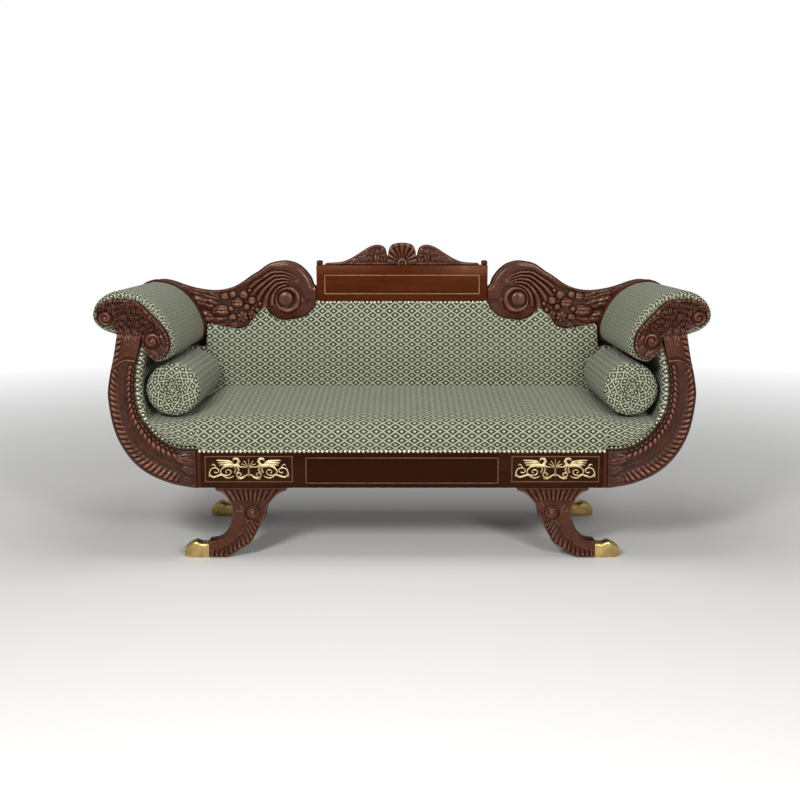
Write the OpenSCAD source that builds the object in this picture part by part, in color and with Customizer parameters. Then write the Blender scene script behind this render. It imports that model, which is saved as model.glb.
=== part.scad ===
/* [Seat frame] */
// Length of the front rail between the arm scrolls
rail_w = 1360; // [1200:10:1600]
// Height of the rails above the floor, which is the leg height
leg_h = 246; // [220:1:280]
// Height of the rails
rail_h = 122; // [110:1:135]
// Thickness of the front and back rails
rail_t = 60; // [45:1:65]
// Thickness of the end rails
end_rail_t = 40; // [30:1:50]
// Depth of the whole sofa, front of the scrolls to back of the crest
sofa_d = 700; // [660:5:760]

/* [Arms] */
// How far the arm scrolls reach out past the rail ends
arm_out = 320; // [280:5:340]
// Rise of the arms above the underside of the rails
arm_h = 650; // [630:5:665]
// Thickness of the carved arm facings
facing_t = 32; // [26:1:40]
// Height of the carving inside that thickness
relief = 11; // [6:1:14]
// Leaf lobes along each side of a facing
lobes = 36; // [20:1:44]
// Thickness of the posts behind the facings
post_t = 40; // [30:1:50]
// Thickness of the lining on the inside of the arms
lining_t = 14; // [10:1:16]
// Thickness of the cover on the outside of the arms
cover_t = 5; // [3:1:6]
// Radius of the arm volutes
arm_volute_r = 40; // [34:1:41]

/* [Back] */
// Thickness of the crest rail
crest_t = 60; // [50:1:65]
// Height of the crest's lowest carving above the floor
crest_z = 719; // [705:1:730]
// Height of the crest side rails from there
crest_h = 254; // [240:1:270]
// Length of the crest tablet
tablet_w = 644; // [600:4:700]
// Height of the underside of the crest tablet
tablet_z = 823; // [810:1:840]
// Height of the crest tablet
tablet_h = 146; // [130:1:160]
// Height of the shell cresting on the tablet
cresting_h = 71; // [60:1:80]
// Length of the shell cresting
cresting_w = 576; // [520:4:590]
// Outer radius of the crest volutes
volute_r = 97; // [85:1:99]

/* [Seat] */
// Height of the seat above the rails at the sides
seat_h = 106; // [96:1:106]
// Extra rise of the seat between the bolsters, at the back
crown_h = 40; // [20:1:44]
// Thickness of the back pad at the seat
back_t = 100; // [80:1:110]

/* [Bolsters] */
// Radius of the bolsters
bolster_r = 93; // [80:1:94]
// Length of the bolsters
bolster_l = 480; // [420:5:490]
// Gathers round each end
gathers = 18; // [12:1:20]

/* [Legs] */
// Thickness of the legs
leg_t = 60; // [50:1:60]
// Spread of a leg from its inner corner to the toe cap
leg_w = 263; // [240:1:280]
// Distance of the inner corner of a leg from the rail end
leg_set = 294; // [290:2:330]
// Length of a brass toe cap
toe_l = 84; // [70:1:95]
// Height of a brass toe cap
toe_h = 60; // [56:1:66]

/* [Hidden] */
$fn = 48;

mahogany = [0.27, 0.09, 0.06];
veneer = [0.40, 0.15, 0.08];
deal = [0.72, 0.56, 0.38];
cloth = [0.36, 0.42, 0.34];
string = [0.66, 0.47, 0.27];
brass = [0.80, 0.63, 0.27];
jute = [0.62, 0.52, 0.36];

// Overrun of every cut
over = 2;
// Gap between soft pieces that lie together
fit = 0.3;
// Front of the rail behind the front of the scrolls
rail_set = 15;
// Rim of the rear posts round the rolls
rim = 8;
// Thickness of cloth sheets and webbing
sheet_t = 1.5;
web_t = 2;

half_w = rail_w / 2 + arm_out;
leg_x = rail_w / 2 - leg_set;
front_y = -sofa_d / 2;
back_y = sofa_d / 2;
rail_y = front_y + rail_set;
facing_back = front_y + facing_t;
crest_y = back_y - crest_t;
rail_top = leg_h + rail_h;
// Rear face of the back rail, and the plane of the back frame on it
frame_set = 10;
frame_y = crest_y + frame_set;
frame_t = 40;
rear_post_y = crest_y - post_t;
seat_back_y = frame_y - back_t;
seat_z = rail_top + seat_h;

// Arm outlines: x share of arm_out past the rail end, z share of arm_h above the rail
outer_shares = [[0, 0], [0.27, 0.026], [0.52, 0.083], [0.70, 0.17], [0.825, 0.294],
    [0.881, 0.457], [0.863, 0.558], [0.812, 0.671], [0.772, 0.775]];
inner_shares = [[0, 0.195], [0.206, 0.203], [0.388, 0.252], [0.516, 0.325],
    [0.594, 0.406], [0.616, 0.506], [0.60, 0.609], [0.556, 0.698], [0.519, 0.768]];
roll_shares = [[0.772, 0.775], [0.85, 0.792], [0.938, 0.815], [0.995, 0.852], [1, 0.887],
    [0.965, 0.935], [0.881, 0.977], [0.778, 1], [0.675, 0.997], [0.575, 0.986],
    [0.478, 0.962], [0.378, 0.922], [0.30, 0.872], [0.234, 0.808], [0.197, 0.735],
    [0.222, 0.682], [0.294, 0.655], [0.385, 0.642], [0.44, 0.652], [0.462, 0.69],
    [0.470, 0.74]];
head_shares = [[0.772, 0.775], [0.86, 0.797], [0.93, 0.81], [0.965, 0.85], [0.94, 0.915],
    [0.878, 0.947], [0.79, 0.961], [0.666, 0.961], [0.55, 0.947], [0.456, 0.905],
    [0.36, 0.857], [0.278, 0.808], [0.24, 0.76], [0.243, 0.709], [0.30, 0.668],
    [0.40, 0.66], [0.48, 0.69], [0.518, 0.73], [0.519, 0.768]];
volute_out_share = [0.853, 0.869];
volute_in_share = [0.388, 0.75];

function arm_pt(s) = [rail_w / 2 + s[0] * arm_out, leg_h + s[1] * arm_h];
outer_p = [for (s = outer_shares) arm_pt(s)];
inner_p = [for (s = inner_shares) arm_pt(s)];
roll_p = [for (s = roll_shares) arm_pt(s)];
head_p = [for (s = head_shares) arm_pt(s)];

// Smooth curve through points p, at t from 0 to 1
function cubic(a, b, c, d, f) =
    b + 0.5 * f * ((c - a) + f * ((2 * a - 5 * b + 4 * c - d) + f * (3 * b - a - 3 * c + d)));
function spl(p, t) = let (n = len(p) - 1, i = min(floor(t * n), n - 1))
    cubic(p[max(i - 1, 0)], p[i], p[i + 1], p[min(i + 2, n)], t * n - i);
function ring(p, t) = let (n = len(p), i = floor(t * n))
    cubic(p[(i + n - 1) % n], p[i % n], p[(i + 1) % n], p[(i + 2) % n], t * n - i);
function curve(p, n) = [for (i = [0 : n]) spl(p, i / n)];
function loop(p, n) = [for (i = [0 : n - 1]) ring(p, i / n)];
function unit(v) = v / max(norm(v), 0.001);
function left(v) = [-v[1], v[0]];
// Open curve moved to its left by d
function shift(p, d) = [for (i = [0 : len(p) - 1])
    p[i] + d * left(unit(p[min(i + 1, len(p) - 1)] - p[max(i - 1, 0)]))];
// Closed curve moved outward by d where it runs anticlockwise
function swell(p, d) = let (n = len(p)) [for (i = [0 : n - 1])
    p[i] - d * left(unit(p[(i + 1) % n] - p[(i + n - 1) % n]))];
function flip(p) = [for (i = [len(p) - 1 : -1 : 0]) p[i]];
function ease(s) = let (c = max(0, min(1, s))) c * c * (3 - 2 * c);
function at_y(p, y) = [for (q = p) [q[0], y, q[1]]];

// Skin over rings of points, closed at both ends
module loft(rings) {
    n = len(rings[0]);
    m = len(rings);
    pts = [for (r = rings) each r];
    sides = [for (j = [0 : m - 2]) for (i = [0 : n - 1])
        let (a = j * n + i, b = j * n + (i + 1) % n)
        each [[a, b, b + n], [a, b + n, a + n]]];
    polyhedron(points = pts, faces = concat(sides, [[for (i = [n - 1 : -1 : 0]) i]],
        [[for (i = [0 : n - 1]) (m - 1) * n + i]]));
}
// Outline in the front plane, made thick from y0 back by t
module slab(p, y0, t) {
    translate([0, y0 + t, 0]) rotate([90, 0, 0]) linear_extrude(t) polygon(p);
}
// Both sides of the sofa are the same, seen in a mirror
module left_of() {
    mirror([1, 0, 0]) children();
}
// Disc in the front plane whose front is at y0
module disc(c, y0, r, t) {
    translate([c[0], y0 + t, c[1]]) rotate([90, 0, 0]) cylinder(r = r, h = t);
}
// Ring bead in the front plane, centred on y0
module bead(c, y0, r, b) {
    translate([c[0], y0, c[1]]) rotate([90, 0, 0]) rotate_extrude() translate([r, 0]) circle(b);
}
// Each leaf of a group stands a little higher than the last
function lift(i) = relief * (0.04 + 0.011 * i);
// Carved leaf in the front plane: a curved blade with a raised midrib
leaf_shares = [0, 0.75, 1, 0.85, 0.45];
module leaf(c, y0, a, l, w, h, bend) {
    n = len(leaf_shares);
    mid = [for (i = [0 : n]) let (s = i / n) [l * s, bend * l * s * s]];
    edge_up = [for (i = [1 : n - 1]) mid[i] + [0, w * leaf_shares[i] / 2]];
    edge_dn = [for (i = [n - 1 : -1 : 1]) mid[i] - [0, w * leaf_shares[i] / 2]];
    rim_p = concat([mid[0]], edge_up, [mid[n]], edge_dn);
    k = len(rim_p);
    rib = [for (i = [1 : n - 1]) mid[i]];
    pts = concat([for (q = rim_p) [q[0], q[1], -h]], [for (q = rim_p) [q[0], q[1], 0]],
        [for (i = [0 : n - 2]) [rib[i][0], rib[i][1], h * leaf_shares[i + 1]]]);
    walls = [for (i = [0 : k - 1]) let (j = (i + 1) % k) each [[i, j, j + k], [i, j + k, i + k]]];
    up = [for (i = [1 : n - 2]) each [[k + i, k + i + 1, 2 * k + i], [k + i, 2 * k + i, 2 * k + i - 1]]];
    dn = [for (i = [1 : n - 2]) let (e = k + k - i)
        each [[2 * k + i, e - 1, e], [2 * k + i, e, 2 * k + i - 1]]];
    tips = [[k, k + 1, 2 * k], [k, 2 * k, 2 * k - 1], [k + n - 1, k + n, 2 * k + n - 2],
        [k + n, k + n + 1, 2 * k + n - 2]];
    translate([c[0], y0, c[1]]) rotate([90, 0, 0]) rotate(a)
        polyhedron(points = pts, faces = concat([[for (i = [k - 1 : -1 : 0]) i]], walls, up, dn,
            tips));
}

// Seat frame
module front_rail() {
    color(mahogany) translate([-rail_w / 2, rail_y, leg_h]) cube([rail_w, rail_t, rail_h]);
}
back_rail_y = frame_y - rail_t;
module back_rail() {
    color(deal) translate([-rail_w / 2, back_rail_y, leg_h]) cube([rail_w, rail_t, rail_h]);
}
rail_gap = back_rail_y - rail_y - rail_t;
end_x = rail_w / 2 - end_rail_t;
module end_rail_right() {
    color(deal) translate([end_x, rail_y + rail_t, leg_h]) cube([end_rail_t, rail_gap, rail_h]);
}
module end_rail_left() {
    left_of() end_rail_right();
}
// Triangular blocks glued in the four corners of the frame
block_w = 70;
block_h = 50;
module corner_blocks() {
    color(deal) for (sx = [-1, 1], sy = [-1, 1])
        translate([sx * end_x, rail_y + rail_t + rail_gap * (1 + sy) / 2, rail_top - block_h])
            linear_extrude(block_h)
                polygon([[0, 0], [-sx * block_w, 0], [0, -sy * block_w]]);
}
// Two braces across the frame, clear under the springs
brace_w = 30;
brace_h = 60;
brace_x = end_x / 3;
module seat_braces() {
    color(deal) for (sx = [-1, 1])
        translate([sx * brace_x - brace_w / 2, rail_y + rail_t, leg_h])
            cube([brace_w, rail_gap, brace_h]);
}
// Strips of webbing tacked under the rails, in three bays of springs
spring_nx = 6;
spring_ny = 4;
spring_r = 40;
wire_t = 4;
web_w = 50;
bay_x = 2 * end_x / spring_nx;
bay_y = rail_gap / spring_ny;
module webbing() {
    color(jute) difference() {
        union() {
            for (i = [0 : spring_nx - 1])
                translate([-end_x + bay_x * (i + 0.5) - web_w / 2, rail_y + rail_t / 2, leg_h - web_t])
                    cube([web_w, rail_gap + rail_t, web_t]);
            for (j = [0 : spring_ny - 1])
                translate([-end_x - end_rail_t / 2,
                    rail_y + rail_t + bay_y * (j + 0.5) - web_w / 2, leg_h - web_t])
                    cube([2 * end_x + end_rail_t, web_w, web_t]);
        }
        for (sx = [-1, 1], y = [leg_front_y, leg_back_y])
            translate([sx * (leg_x + leg_w / 2) - leg_w / 2 - over, y - over, leg_h - web_t - over])
                cube([leg_w + 2 * over, leg_t + 2 * over, web_t + 2 * over]);
    }
}
spring_l = rail_h - sheet_t;
module seat_springs() {
    waist = spring_r * 0.6;
    color("silver") for (i = [0 : spring_nx - 1], j = [0 : spring_ny - 1])
        translate([-end_x + bay_x * (i + 0.5), rail_y + rail_t + bay_y * (j + 0.5), leg_h])
            rotate_extrude() polygon([[spring_r - wire_t, 0], [spring_r, 0], [waist, spring_l / 2],
                [spring_r, spring_l], [spring_r - wire_t, spring_l], [waist - wire_t, spring_l / 2]]);
}
module spring_cover() {
    color(jute) difference() {
        translate([-end_x, rail_y + rail_t, rail_top - sheet_t])
            cube([2 * end_x, rail_gap, sheet_t]);
        for (sx = [-1, 1], sy = [-1, 1])
            translate([sx * end_x, rail_y + rail_t + rail_gap * (1 + sy) / 2,
                rail_top - sheet_t - over]) linear_extrude(sheet_t + 2 * over)
                polygon([[sx * over, -sy * -over], [-sx * block_w, sy * over], [-sx * block_w, 0],
                    [0, -sy * block_w], [sx * over, -sy * block_w]]);
    }
}
module dust_cover() {
    color("dimgray") difference() {
        translate([-rail_w / 2 + end_rail_t / 4, rail_y + rail_t / 4, leg_h - web_t - sheet_t])
            cube([rail_w - end_rail_t / 2, rail_gap + rail_t * 1.5, sheet_t]);
        for (sx = [-1, 1], y = [leg_front_y, leg_back_y])
            translate([sx * (leg_x + leg_w / 2) - leg_w / 2 - over, y - over,
                leg_h - web_t - sheet_t - over])
                cube([leg_w + 2 * over, leg_t + 2 * over, sheet_t + 2 * over]);
    }
}

// Carved arm facing: a leafed band with a midrib, and the double scroll over it
facing_n = 2 * lobes;
slant = 0.55;
across_shares = [0, 0.05, 0.10, 0.26, 0.40, 0.46, 0.52, 0.58, 0.74, 0.90, 0.95, 1];
high_shares = [0.30, 0.85, 0.45, 0.95, 0.60, 1, 1, 0.60, 0.95, 0.45, 0.85, 0.30];
low_shares = [0.30, 0.85, 0.30, 0.35, 0.20, 0.95, 0.95, 0.20, 0.35, 0.30, 0.85, 0.30];
function facing_ring(j) = let (t0 = j / facing_n, calm = min(1, 8 * t0, 8 * (1 - t0)),
    hs = j % 2 == 0 ? low_shares : high_shares)
    concat([for (k = [0 : len(across_shares) - 1])
        let (u = across_shares[k], v = abs(2 * u - 1) * calm,
            t = max(0, min(1, t0 - slant * v * 2.4 / lobes)), q = (1 - u) * spl(outer_p, t) + u * spl(inner_p, t))
        [q[0], facing_back - (facing_t - relief + relief * hs[k]), q[1]]],
        [let (v = calm, t = max(0, min(1, t0 - slant * v * 2.4 / lobes)), q = spl(inner_p, t))
            [q[0], facing_back, q[1]],
        let (v = calm, t = max(0, min(1, t0 - slant * v * 2.4 / lobes)), q = spl(outer_p, t))
            [q[0], facing_back, q[1]]]);
volute_out = arm_pt(volute_out_share);
volute_in = arm_pt(volute_in_share);
head_t = facing_t - relief;
bead_r = relief / 2;
// Leaves of the scroll head: x share, z share, angle, length share, width share
head_leaf_shares = [[0.80, 0.80, 100, 0.9, 0.55], [0.74, 0.80, 80, 1.1, 0.6],
    [0.66, 0.80, 70, 1.25, 0.6], [0.60, 0.80, 95, 1.2, 0.6], [0.55, 0.80, 115, 1.0, 0.6],
    [0.72, 0.86, 60, 0.8, 0.5], [0.63, 0.85, 78, 0.9, 0.5], [0.53, 0.84, 100, 0.8, 0.5],
    [0.50, 0.80, 125, 0.7, 0.5], [0.80, 0.88, 50, 0.6, 0.45], [0.45, 0.83, 120, 0.7, 0.45],
    [0.58, 0.88, 85, 0.6, 0.45]];
module scroll_head_right() {
    color(mahogany) {
    slab(curve(head_p, 54), facing_back - head_t, head_t);
    for (c = [volute_out, volute_in], k = [0 : 2])
        disc(c, facing_back - head_t - relief * (k + 1) / 3, arm_volute_r * (1 - k * 0.3),
            head_t + relief * (k + 1) / 3);
    for (i = [0 : len(head_leaf_shares) - 1]) let (s = head_leaf_shares[i])
        leaf(arm_pt([s[0], s[1]]), facing_back - head_t - lift(i), s[2], s[3] * arm_volute_r,
            s[4] * arm_volute_r, relief * 0.8, 0.2);
    }
}
module scroll_head_left() {
    left_of() scroll_head_right();
}
module arm_facing_right() {
    color(mahogany) loft([for (j = [0 : facing_n]) facing_ring(j)]);
}
module arm_facing_left() {
    left_of() arm_facing_right();
}
// Sawn post behind the facing, between the cover and the lining
wall_n = 40;
outer_c = curve(outer_p, wall_n);
inner_c = curve(inner_p, wall_n);
function past_rail(p) = [for (q = p) [max(q[0], rail_w / 2), q[1]]];
cover_in = past_rail(shift(outer_c, cover_t));
lining_in = past_rail(shift(inner_c, lining_t));
// The roll stands on the top of the stem
roll_c = concat(curve(roll_p, 48), [lining_in[wall_n], inner_c[wall_n]]);
post_p = concat(cover_in, flip(inner_c));
module arm_post_right() {
    color(deal) slab(post_p, facing_back, post_t);
}
module arm_post_left() {
    left_of() arm_post_right();
}
module rear_post_right() {
    color(mahogany) {
        slab(concat(outer_c, flip(inner_c)), rear_post_y, frame_y + frame_t - rear_post_y);
        slab(swell(roll_c, rim), rear_post_y, post_t);
    }
}
module rear_post_left() {
    left_of() rear_post_right();
}
// Bars from post to post inside the arms
stretcher_w = 30;
module arm_stretchers_right() {
    color(deal) for (t = [0.2, 0.5, 0.8])
        let (q = (spl(outer_p, t) + spl(inner_p, t)) / 2)
            translate([q[0] - stretcher_w / 2, facing_back + post_t, q[1] - stretcher_w / 2])
                cube([stretcher_w, rear_post_y - facing_back - post_t, stretcher_w]);
}
module arm_stretchers_left() {
    left_of() arm_stretchers_right();
}
// Cloth covers
module outside_arm_right() {
    color(cloth) slab(concat(outer_c, flip(cover_in)), facing_back, rear_post_y - facing_back);
}
module outside_arm_left() {
    left_of() outside_arm_right();
}
module arm_lining_right() {
    color(cloth) slab(concat(inner_c, flip(lining_in)), facing_back, rear_post_y - facing_back);
}
module arm_lining_left() {
    left_of() arm_lining_right();
}
// Padded roll on top of the arm, drawn in over its front edge
roll_edge = 16;
roll_pad_shares = [[0, 1], [0.15, 0.45], [0.45, 0.12], [1, 0]];
function roll_ring(y, d) = at_y(swell(roll_c, -d), y);
module arm_roll_right() {
    color(cloth) loft(flip(concat(
        [for (s = roll_pad_shares) roll_ring(facing_back + s[0] * roll_edge, s[1] * roll_edge)],
        [roll_ring(rear_post_y, 0)])));
}
module arm_roll_left() {
    left_of() arm_roll_right();
}

// Seat: a crowned pad that fills the bottom of the scrolls
seat_gap = [for (q = shift(inner_c, lining_t + fit)) q];
seat_d = seat_back_y - fit - rail_y;
seat_profile_shares = [[0.000, 0], [-0.012, 0.25], [-0.013, 0.48], [0.002, 0.72],
    [0.035, 0.88], [0.08, 0.95], [0.14, 0.98], [0.22, 0.99], [0.34, 1], [0.46, 1], [0.58, 1],
    [0.70, 1], [0.82, 1], [0.92, 1], [1, 1]];
bolster_x = rail_w / 2 + 0.25 * arm_out;
swell_from = bolster_x - bolster_r * 1.30;
swell_to = bolster_x - bolster_r * 0.16;
function crown(x, s) = crown_h * ease((swell_to - abs(x)) / (swell_to - swell_from))
    * (0.25 + 0.75 * ease(s));
function seat_ring(x, z) = concat(
    [for (s = seat_profile_shares) [x, rail_y + s[0] * seat_d,
        z + s[1] * (seat_z - fit - z) + crown(x, s[0]) * min(1, max(0, s[1] - 0.3) * 2)]],
    [[x, rail_y + seat_d, z]]);
side_use = [for (i = [0 : 2 : wall_n]) if (i < wall_n / 2 && seat_gap[i][1] < seat_z - 6 * fit)
    seat_gap[i]];
flat_shares = [0, 0.15, 0.3, 0.45, 0.6, 0.75, 0.86, 0.90, 0.94, 0.97, 1];
module seat_pad() {
    flat_w = seat_gap[0][0] - fit;
    right = concat([for (s = flat_shares) [s * flat_w, rail_top]], side_use);
    all_st = concat([for (q = flip(right)) [-q[0], q[1]]], [for (i = [1 : len(right) - 1]) right[i]]);
    color(cloth) loft(flip([for (q = all_st) seat_ring(q[0], q[1])]));
}

// Back: crowned between the seat, the crest and the arms
tablet_x = tablet_w / 2;
function crest_pt(s) = [tablet_x + s[0] * (half_w - tablet_x), crest_z + s[1] * crest_h];
volute_c = crest_pt([0.174, 0.441]);
crest_low_shares = [[0.30, 0.28], [0.318, 0.29], [0.34, 0.21], [0.36, 0.12], [0.386, 0.043],
    [0.442, 0], [0.509, 0.028], [0.565, 0.059], [0.622, 0.102]];
crest_low = [for (s = crest_low_shares) crest_pt(s)];
pad_rim = rim + 4 * fit;
under_roll = swell(roll_c, pad_rim);
function disc_z(x, m) = abs(x - volute_c[0]) < volute_r + m ?
    volute_c[1] - sqrt(pow(volute_r + m, 2) - pow(x - volute_c[0], 2)) : tablet_z;
// Underside of the crest at x, and m below it
function crest_under(x, m) = min(disc_z(x, m), (x < crest_low[0][0] ? tablet_z : lookup(x, crest_low)) - m);
roll_left_x = min([for (q = under_roll) q[0]]);
roll_low = [for (q = under_roll) if (q[1] < roll_p[13][1]) q];
function roll_under(x) = min([for (q = concat(roll_low, [[0, half_w]]))
    abs(q[0] - x) < rim * 1.5 ? q[1] : half_w]);
back_gap = shift(inner_c, lining_t + fit);
belly_x = max([for (q = back_gap) q[0]]);
function wall_low(x) = min([for (q = back_gap) if (q[0] >= x && q[0] > rail_w / 2 + fit) q[1]]);
function wall_high(x) = max([for (q = back_gap) if (q[0] >= x) q[1]]);
function back_top(x) = x < roll_left_x - over ? crest_under(x, 3 * fit)
    : min(roll_under(x), wall_high(x), crest_low[8][1] - 3 * fit);
function back_low(x) = x < rail_w / 2 - over ? rail_top : wall_low(x) + 3 * fit;
back_shares = [0, 0.12, 0.27, 0.42, 0.56, 0.70, 0.82, 0.91, 0.97, 1];
function back_face(s) = seat_back_y + (crest_y - 5 * fit - seat_back_y) * (0.25 * s + 0.75 * pow(s, 3));
function back_ring(x) = let (z0 = back_low(x), z1 = back_top(x), base = seat_z + crown_h)
    concat([[x, frame_y - fit, z0]],
        [for (s = back_shares) let (z = z0 + s * (z1 - z0))
            [x, back_face(max(0, z - base) / (tablet_z - base)) + (s == 1 ? over : 0), z]],
        [[x, frame_y - fit, z1]]);
back_x = concat([for (s = [0, 0.25, 0.5, 0.75, 0.97]) s * tablet_x],
    [for (s = [0.03, 0.08, 0.14, 0.2, 0.26, 0.3, 0.318, 0.34, 0.36, 0.386, 0.442, 0.50])
        crest_pt([s, 0])[0]],
    [rail_w / 2 - 2 * over, rail_w / 2 - fit, rail_w / 2 + 6 * over],
    [roll_left_x - 2 * over, roll_left_x + over],
    [for (s = [0.25, 0.5, 0.72, 0.86, 0.93, 0.965])
        roll_left_x + s * (belly_x - roll_left_x)]);
module back_pad() {
    st = concat([for (x = flip(back_x)) -x], [for (i = [1 : len(back_x) - 1]) back_x[i]]);
    rings = [for (x = st) let (r = back_ring(abs(x))) [for (q = r) [x, q[1], q[2]]]];
    color(cloth) loft(flip(rings));
}

// Back frame
muntin_w = 50;
module back_muntins() {
    color(deal) for (x = [-tablet_x + muntin_w, 0, tablet_x - muntin_w])
        translate([x - muntin_w / 2, frame_y, leg_h]) cube([muntin_w, frame_t, tablet_z - leg_h]);
}
tack_h = 50;
module tack_rail() {
    color(deal) for (s = [-1, 1], k = [0, 1]) {
        x0 = k == 0 ? muntin_w / 2 : tablet_x - muntin_w / 2;
        x1 = k == 0 ? tablet_x - muntin_w * 1.5 : rail_w / 2 + arm_out / 2;
        translate([min(s * x0, s * x1), frame_y, seat_z]) cube([x1 - x0, frame_t, tack_h]);
    }
}
under_x = concat([tablet_x * 0.5], [for (i = [0 : 12]) tablet_x + i * volute_r / 6.2],
    [for (q = crest_low) if (q[0] > volute_c[0] + volute_r) q[0]]);
module outside_back() {
    side = concat(outer_c, [inner_c[wall_n] - [0, 4 * fit]],
        [for (x = flip(under_x)) [x, crest_under(x, 4 * fit)]]);
    color(cloth) slab(concat(side, [for (q = flip(side)) [-q[0], q[1]]]), frame_y + frame_t,
        sheet_t);
}
// Crest side rail with its volute, flutes, fruit and leaves
crest_top_shares = [[0.018, 0.65], [0.032, 0.752], [0.066, 0.87], [0.109, 0.957],
    [0.164, 1], [0.214, 0.992], [0.264, 0.957], [0.32, 0.854], [0.364, 0.783],
    [0.42, 0.677], [0.476, 0.606], [0.532, 0.567], [0.587, 0.559], [0.643, 0.575],
    [0.70, 0.606], [0.752, 0.65], [0.797, 0.693], [0.851, 0.724], [0.907, 0.709], [0.945, 0.65]];
crest_board_t = crest_t - relief;
crest_face = crest_y + relief;
fruit_r = 23;
fruit_shares = [[0.521, 0.484], [0.476, 0.421], [0.426, 0.468], [0.388, 0.42], [0.456, 0.303],
    [0.412, 0.28], [0.352, 0.40], [0.36, 0.31], [0.438, 0.18], [0.392, 0.145], [0.505, 0.195],
    [0.555, 0.291], [0.46, 0.105]];
crest_leaf_shares = [[0.50, 0.42, -12, 1.3], [0.51, 0.33, -14, 1.5], [0.53, 0.24, -10, 1.3],
    [0.47, 0.10, 8, 1.2], [0.55, 0.14, 4, 1.2], [0.56, 0.44, 2, 1.3]];
flute_n = 12;
crest_top = curve([for (s = crest_top_shares) crest_pt(s)], 57);
// Places of a flute's ends along the crest's top edge
flute_ends = [0.08, 0.52];
// Flute that leaves the volute's rim and sweeps out under the top edge
module flute(k) {
    r0 = volute_r * 0.95;
    path = [for (i = [0 : flute_n]) let (s = i / flute_n,
        q = crest_top[round(57 * (flute_ends[0] + s * (flute_ends[1] - flute_ends[0])))] - volute_c,
        r = r0 + (norm(q) - r0) * (0.14 + 0.23 * k)) volute_c + r * unit(q)];
    b = volute_r * 0.045;
    loft([for (i = [0 : flute_n]) let (q = path[i],
        d = left(unit(path[min(i + 1, flute_n)] - path[max(i - 1, 0)])),
        w = b * (0.45 + 0.55 * i / flute_n))
        [[q[0] + w * d[0], crest_face + over, q[1] + w * d[1]], [q[0] + w * d[0], crest_face, q[1] + w * d[1]],
            [q[0], crest_face - relief * 0.7, q[1]],
            [q[0] - w * d[0], crest_face, q[1] - w * d[1]], [q[0] - w * d[0], crest_face + over, q[1] - w * d[1]]]]);
}
module crest_rail_right() {
    top = [for (s = crest_top_shares) crest_pt(s)];
    tail = [outer_c[wall_n], inner_c[wall_n]];
    color(mahogany) {
        slab(concat(curve(top, 57), tail, flip(crest_low), [volute_c], [[tablet_x, volute_c[1]]]),
            crest_face, crest_board_t);
        disc(volute_c, crest_face, volute_r, crest_board_t);
        disc(volute_c, crest_face - relief * 0.3, volute_r * 0.9, crest_board_t);
        disc(volute_c, crest_face - relief * 0.6, volute_r * 0.62, crest_board_t);
        disc(volute_c, crest_face - relief * 0.8, volute_r * 0.26, crest_board_t);
        for (k = [0.84, 0.66, 0.46, 0.26]) bead(volute_c, crest_face - relief * (1 - k) * 0.9, volute_r * k, relief * 0.32);
        for (s = fruit_shares) translate([crest_pt(s)[0], crest_face + fruit_r * 0.5, crest_pt(s)[1]])
            sphere(fruit_r);
        for (s = crest_leaf_shares) leaf(crest_pt([s[0], s[1]]), crest_face - lift(0), s[2],
            s[3] * volute_r, volute_r * 0.3, relief * 0.8, 0.1);
        for (k = [0 : 3]) flute(k);
    }
}
module crest_rail_left() {
    left_of() crest_rail_right();
}
module crest_tablet() {
    color(veneer) translate([-tablet_w / 2, crest_y, tablet_z]) cube([tablet_w, crest_t, tablet_h]);
}
// Flat frame of string inlay, on the front plane y0
string_w = 3;
string_t = 0.6;
module string_frame(x, z, w, h, y0) {
    translate([x, y0, z]) rotate([90, 0, 0]) linear_extrude(string_t) difference() {
        square([w, h], center = true);
        square([w - 2 * string_w, h - 2 * string_w], center = true);
    }
}
inlay_edge = 30;
module crest_inlay() {
    color(string) string_frame(0, tablet_z + tablet_h * 0.42, tablet_w - 2 * inlay_edge,
        tablet_h - 2 * inlay_edge - over * 7, crest_y);
}
// Small blocks on the top corners of the tablet
stub_w = 22;
stub_h = 12;
stub_d = 40;
module tablet_blocks() {
    color(mahogany) for (s = [-1, 1])
        translate([s * (tablet_w - stub_w) / 2 - stub_w / 2, crest_y + (crest_t - stub_d) / 2, tablet_z + tablet_h])
            cube([stub_w, stub_d, stub_h]);
}
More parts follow.
